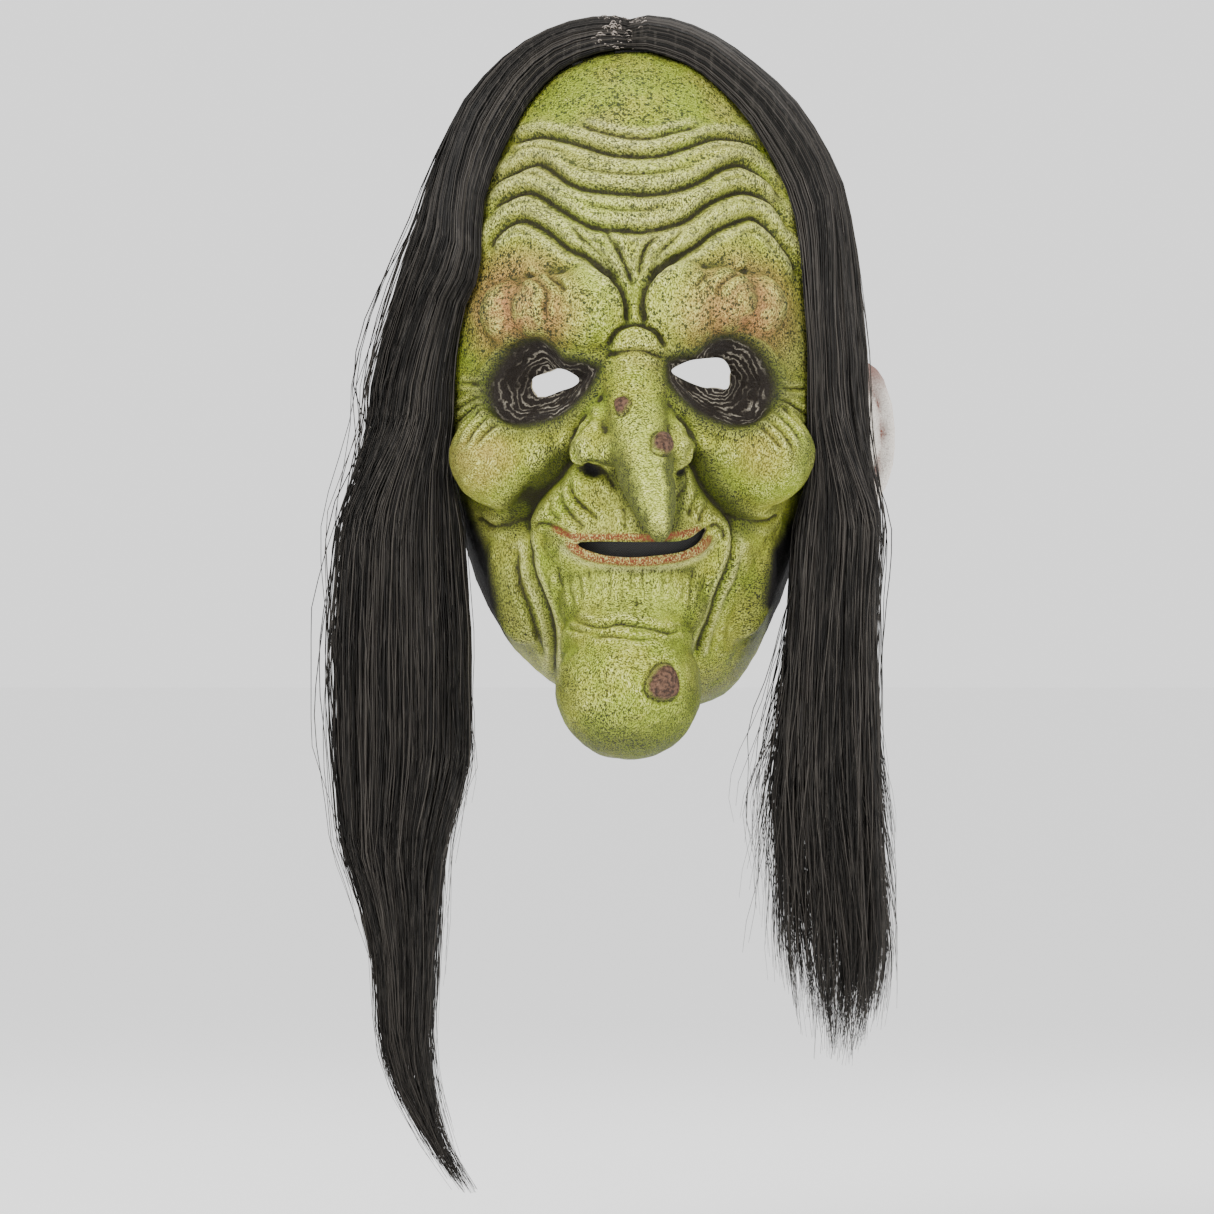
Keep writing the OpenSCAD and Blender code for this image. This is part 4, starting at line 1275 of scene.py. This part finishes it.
tape_finish, shader, place = new_finish("black_cotton_tape")
px, py, pz = place.axes()
threads = weave(px * 5200, py * 5200)
lint = place.noise(900, 3, 0.6)
wire(
    shader,
    Base_Color=(threads * 0.6 + lint * 0.4).between((0.006, 0.006, 0.006), (0.035, 0.033, 0.031)),
    Roughness=(lint * 0.1 + 0.8),
    Normal=threads.bump(0.0003, 0.7),
)
tape_half = math.degrees(math.asin(TAPE_WIDE / 2 / HEAD_HALF_W))
tape = sewn_strip("parting_tape_cloth", 1, -tape_half, tape_half, tape_finish)
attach(tape, "mask")
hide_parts("parting_tape")
for side_name, side in (("left", -1), ("right", 1)):
    track = sewn_strip(f"weft_track_{side_name}", side, *TRACK_PSI, tape_finish)
    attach(track, "mask")
    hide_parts(f"weft_seam_{side_name}")

# Hand stitches: short pale thread ends and knots, scattered where the two sides meet.
thread_finish, shader, place = new_finish("pale_thread")
ply = place.noise(3000, 2, 0.5)
wire(
    shader,
    Base_Color=ply.ramp(0.35, 0.65).between((0.09, 0.07, 0.06), (0.40, 0.35, 0.31)),
    Roughness=(ply * 0.2 + 0.6),
    Normal=ply.bump(0.0002, 0.5),
)
STITCHES = 84
THREAD_R = 0.19
turn = random.uniform(-9, 4, STITCHES) + random.normal(0, 0.8, STITCHES)
lies = random.uniform(-33, 6, STITCHES)
reach = random.uniform(0.4, 1.6, STITCHES)
lean = random.normal(0, 0.9, STITCHES)
t = np.linspace(-1, 1, 5)[None]
sx = turn[:, None] + np.degrees(reach[:, None] * np.cos(lean)[:, None] * t / HEAD_HALF_W)
sy = lies[:, None] + reach[:, None] * np.sin(lean)[:, None] * t
over = np.where(sx < 0, np.interp(-sx, LEFT_THICK["psi"], LEFT_THICK["t"]), RIGHT_THICK["t"][0])
over = over * mix(0.8, 1, ease((np.abs(sx) + 1.5) / 7)) + 0.9 * (1 - t**2) - 0.2
front = np.arange(STITCHES) < STITCHES * 0.6  # these lie on the front edge of the hair
over[front] *= random.uniform(0.25, 1, (front.sum(), 1))
sy[front] = -34.6 - 0.6 * (1 - t**2)
paths = np.stack(crown_point(1, sx, sy, over), -1)
thick = np.full((STITCHES, 5), THREAD_R) * mix(0.6, 1.5, random.uniform(0, 1, (STITCHES, 1)))
tones = random.uniform(0, 1, STITCHES)
stitches = tubes("parting_thread", paths, thick, 5, tones)
stitches.data.materials.append(thread_finish)
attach(stitches, "mask")
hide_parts("parting_stitches")


# ---------------------------------------------------------------- Mouth gauze
# A strip of stiff black gauze, glued behind the lips. It is cut flat and takes the curve of
# the wall that it is glued to, so it is fitted to the inside of the finished casting.
GAUZE_WIDE = 64
GAUZE_HIGH = 19
GAUZE_THICK = 0.5
GAUZE_MIDDLE = (1.5, -64.5)
wall = BVHTree.FromObject(skin, bpy.context.evaluated_depsgraph_get())
gauze, flat = new_grid("mouth_gauze_cloth", 48, 16)
gx = GAUZE_MIDDLE[0] + flat[:, 0] * GAUZE_WIDE / 2
gz = GAUZE_MIDDLE[1] + flat[:, 1] * GAUZE_HIGH / 2
forward = Vector((0, -1, 0))
found = [wall.ray_cast(Vector((a, 0, b)) * 0.001, forward, 0.2)[0] for a, b in zip(gx, gz)]
known = np.array([p is not None and -0.1 < p.y < -0.045 for p in found])
wall_y = np.array([p.y * 1000 if k else 0 for p, k in zip(found, known)])
terms = np.stack([np.ones(len(gx)), gx, gz, gx * gx, gz * gz, gx * gz, gx**4 / 1e3], 1)
fit = np.linalg.lstsq(terms[known], wall_y[known], rcond=None)[0]
smooth_y = terms @ fit
clear = np.max((wall_y - smooth_y)[known])
gy = smooth_y + clear + GAUZE_THICK + 0.3
set_points(gauze, np.stack([gx, gy, gz], 1) * 0.001)
apply(gauze, "SOLIDIFY", thickness=GAUZE_THICK * 0.001, offset=0)
turn_outward(gauze)
bpy.ops.object.shade_smooth()
gauze_finish, shader, place = new_finish("black_gauze")
px, py, pz = place.axes()
mesh_holes = weave(px * 6300, pz * 6300)
haze = place.noise(60, 2, 0.5)
colour = (mesh_holes * 0.7 + haze * 0.5).clamp()
wire(
    shader,
    Base_Color=colour.between((0.004, 0.004, 0.004), (0.045, 0.045, 0.045)),
    Roughness=(haze * 0.1 + 0.75),
    Normal=mesh_holes.bump(0.0004, 0.8),
)
gauze.data.materials.append(gauze_finish)
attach(gauze, "mask")
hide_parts("mouth_gauze")


# ---------------------------------------------------------------- Head strap
# A black woven elastic band that hangs on the two rivets, with a hole at each end for its
# eyelet. Rubber cords run along it, so its faces are ribbed.
STRAP_WIDE = 20
STRAP_THICK = 1.5
(low_x, low_y, low_z), (high_x, high_y, high_z) = (
    [value * 1000 for value in corner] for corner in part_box("elastic_strap")
)
STRAP_R = (high_x - low_x) / 2 - STRAP_THICK / 2
rivet_z = low_z + STRAP_R + STRAP_THICK / 2
rivet_y = (low_y + high_y) / 2
tab = high_z - rivet_z
bow = np.radians(np.linspace(0, 180, 121))
line = [(STRAP_R, tab * (1 - i / 8)) for i in range(8)]
line += [(STRAP_R * math.cos(a), -STRAP_R * math.sin(a)) for a in bow]
line += [(-STRAP_R, tab * (i + 1) / 8) for i in range(8)]
line = np.array(line)
band, flat = new_grid("elastic_band", len(line) - 1, 20)
step = np.rint((flat[:, 0] + 1) / 2 * (len(line) - 1)).astype(int)
across = flat[:, 1] * STRAP_WIDE / 2
toward = line / np.hypot(line[:, 0], np.minimum(line[:, 1], 0))[:, None]
upright = line[:, 1] > 0
toward[upright, 0] = np.sign(line[upright, 0])
toward[upright, 1] = 0
rib = 0.12 * np.cos(across * math.pi * 0.9)
wave = 0.10 * np.sin(step * 1.1)
off = (rib + wave)[:, None] * toward[step]
bent_x, bent_z = (line[step] + off).T
set_points(band, np.stack([bent_x, rivet_y + across, rivet_z + bent_z], 1) * 0.001)
EYELET_R = 2.15
edit = bmesh.new()
edit.from_mesh(band.data)
ends = [v for v in edit.verts if abs(v.co.x) > 0.07]
gone = [v for v in ends if math.hypot(v.co.y * 1000 - rivet_y, v.co.z * 1000 - rivet_z) < EYELET_R]
bmesh.ops.delete(edit, geom=gone, context="VERTS")
for v in edit.verts:
    dy, dz = v.co.y * 1000 - rivet_y, v.co.z * 1000 - rivet_z
    if v.is_boundary and math.hypot(dy, dz) < 4 and abs(v.co.x) > 0.07:
        share = EYELET_R / math.hypot(dy, dz)
        v.co.y = (rivet_y + dy * share) * 0.001
        v.co.z = (rivet_z + dz * share) * 0.001
edit.to_mesh(band.data)
edit.free()
apply(band, "SOLIDIFY", thickness=(STRAP_THICK - 0.4) * 0.001, offset=0)
apply(band, "BEVEL", width=0.0002, segments=2, limit_method="ANGLE")
turn_outward(band)
bpy.ops.object.shade_smooth()
elastic, shader, place = new_finish("woven_elastic")
px, py, pz = place.axes()
cords = py.math("SINE", py * 5600) * 0.5 + 0.5
picks = weave(pz * 4200 + px * 4200, py * 2800)
wire(
    shader,
    Base_Color=(cords * 0.5 + picks * 0.5).between((0.007, 0.007, 0.008), (0.050, 0.048, 0.047)),
    Roughness=(picks * 0.15 + 0.68),
    Normal=(cords * 0.6 + picks * 0.5).bump(0.0004, 0.8),
)
band.data.materials.append(elastic)
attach(band, "strap")
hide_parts("elastic_strap")


# ---------------------------------------------------------------- Patches, rivets and washers
# Two discs of leathercloth stop the rivets tearing the latex. Each rivet is nickelled
# steel, set by hand, with a washer behind the elastic.
leathercloth, shader, place = new_finish("black_leathercloth")
pebbles = place.cells(1300, "DISTANCE_TO_EDGE").ramp(0.0, 0.25)
wear = place.noise(220, 3, 0.6)
colour = pebbles * 0.5 + wear.ramp(0.5, 0.7) * 0.5
wire(
    shader,
    Base_Color=colour.between((0.008, 0.009, 0.010), (0.055, 0.058, 0.060)),
    Roughness=(wear * 0.25 + 0.4),
    Normal=(pebbles + wear * 0.3).bump(0.0003, 0.7),
)
nickel, shader, place = new_finish("nickelled_steel")
scuffs = place.stretched(1, 4, 4).noise(700, 4, 0.65)
tarnish = place.noise(160, 3, 0.6)
wire(
    shader,
    Base_Color=tarnish.ramp(0.45, 0.7).between((0.62, 0.59, 0.54), (0.34, 0.31, 0.27)),
    Roughness=(scuffs * 0.3 + 0.18),
    Normal=scuffs.bump(0.0001, 0.35),
    Metallic=1.0,
)
for side_name in ("left", "right"):
    for node, finish in (
        ("strap_patch_", leathercloth), ("strap_rivet_", nickel), ("rivet_washer_", nickel),
    ):
        made = frame["nodes"][node + side_name]
        made.data.materials.clear()
        made.data.materials.append(finish)
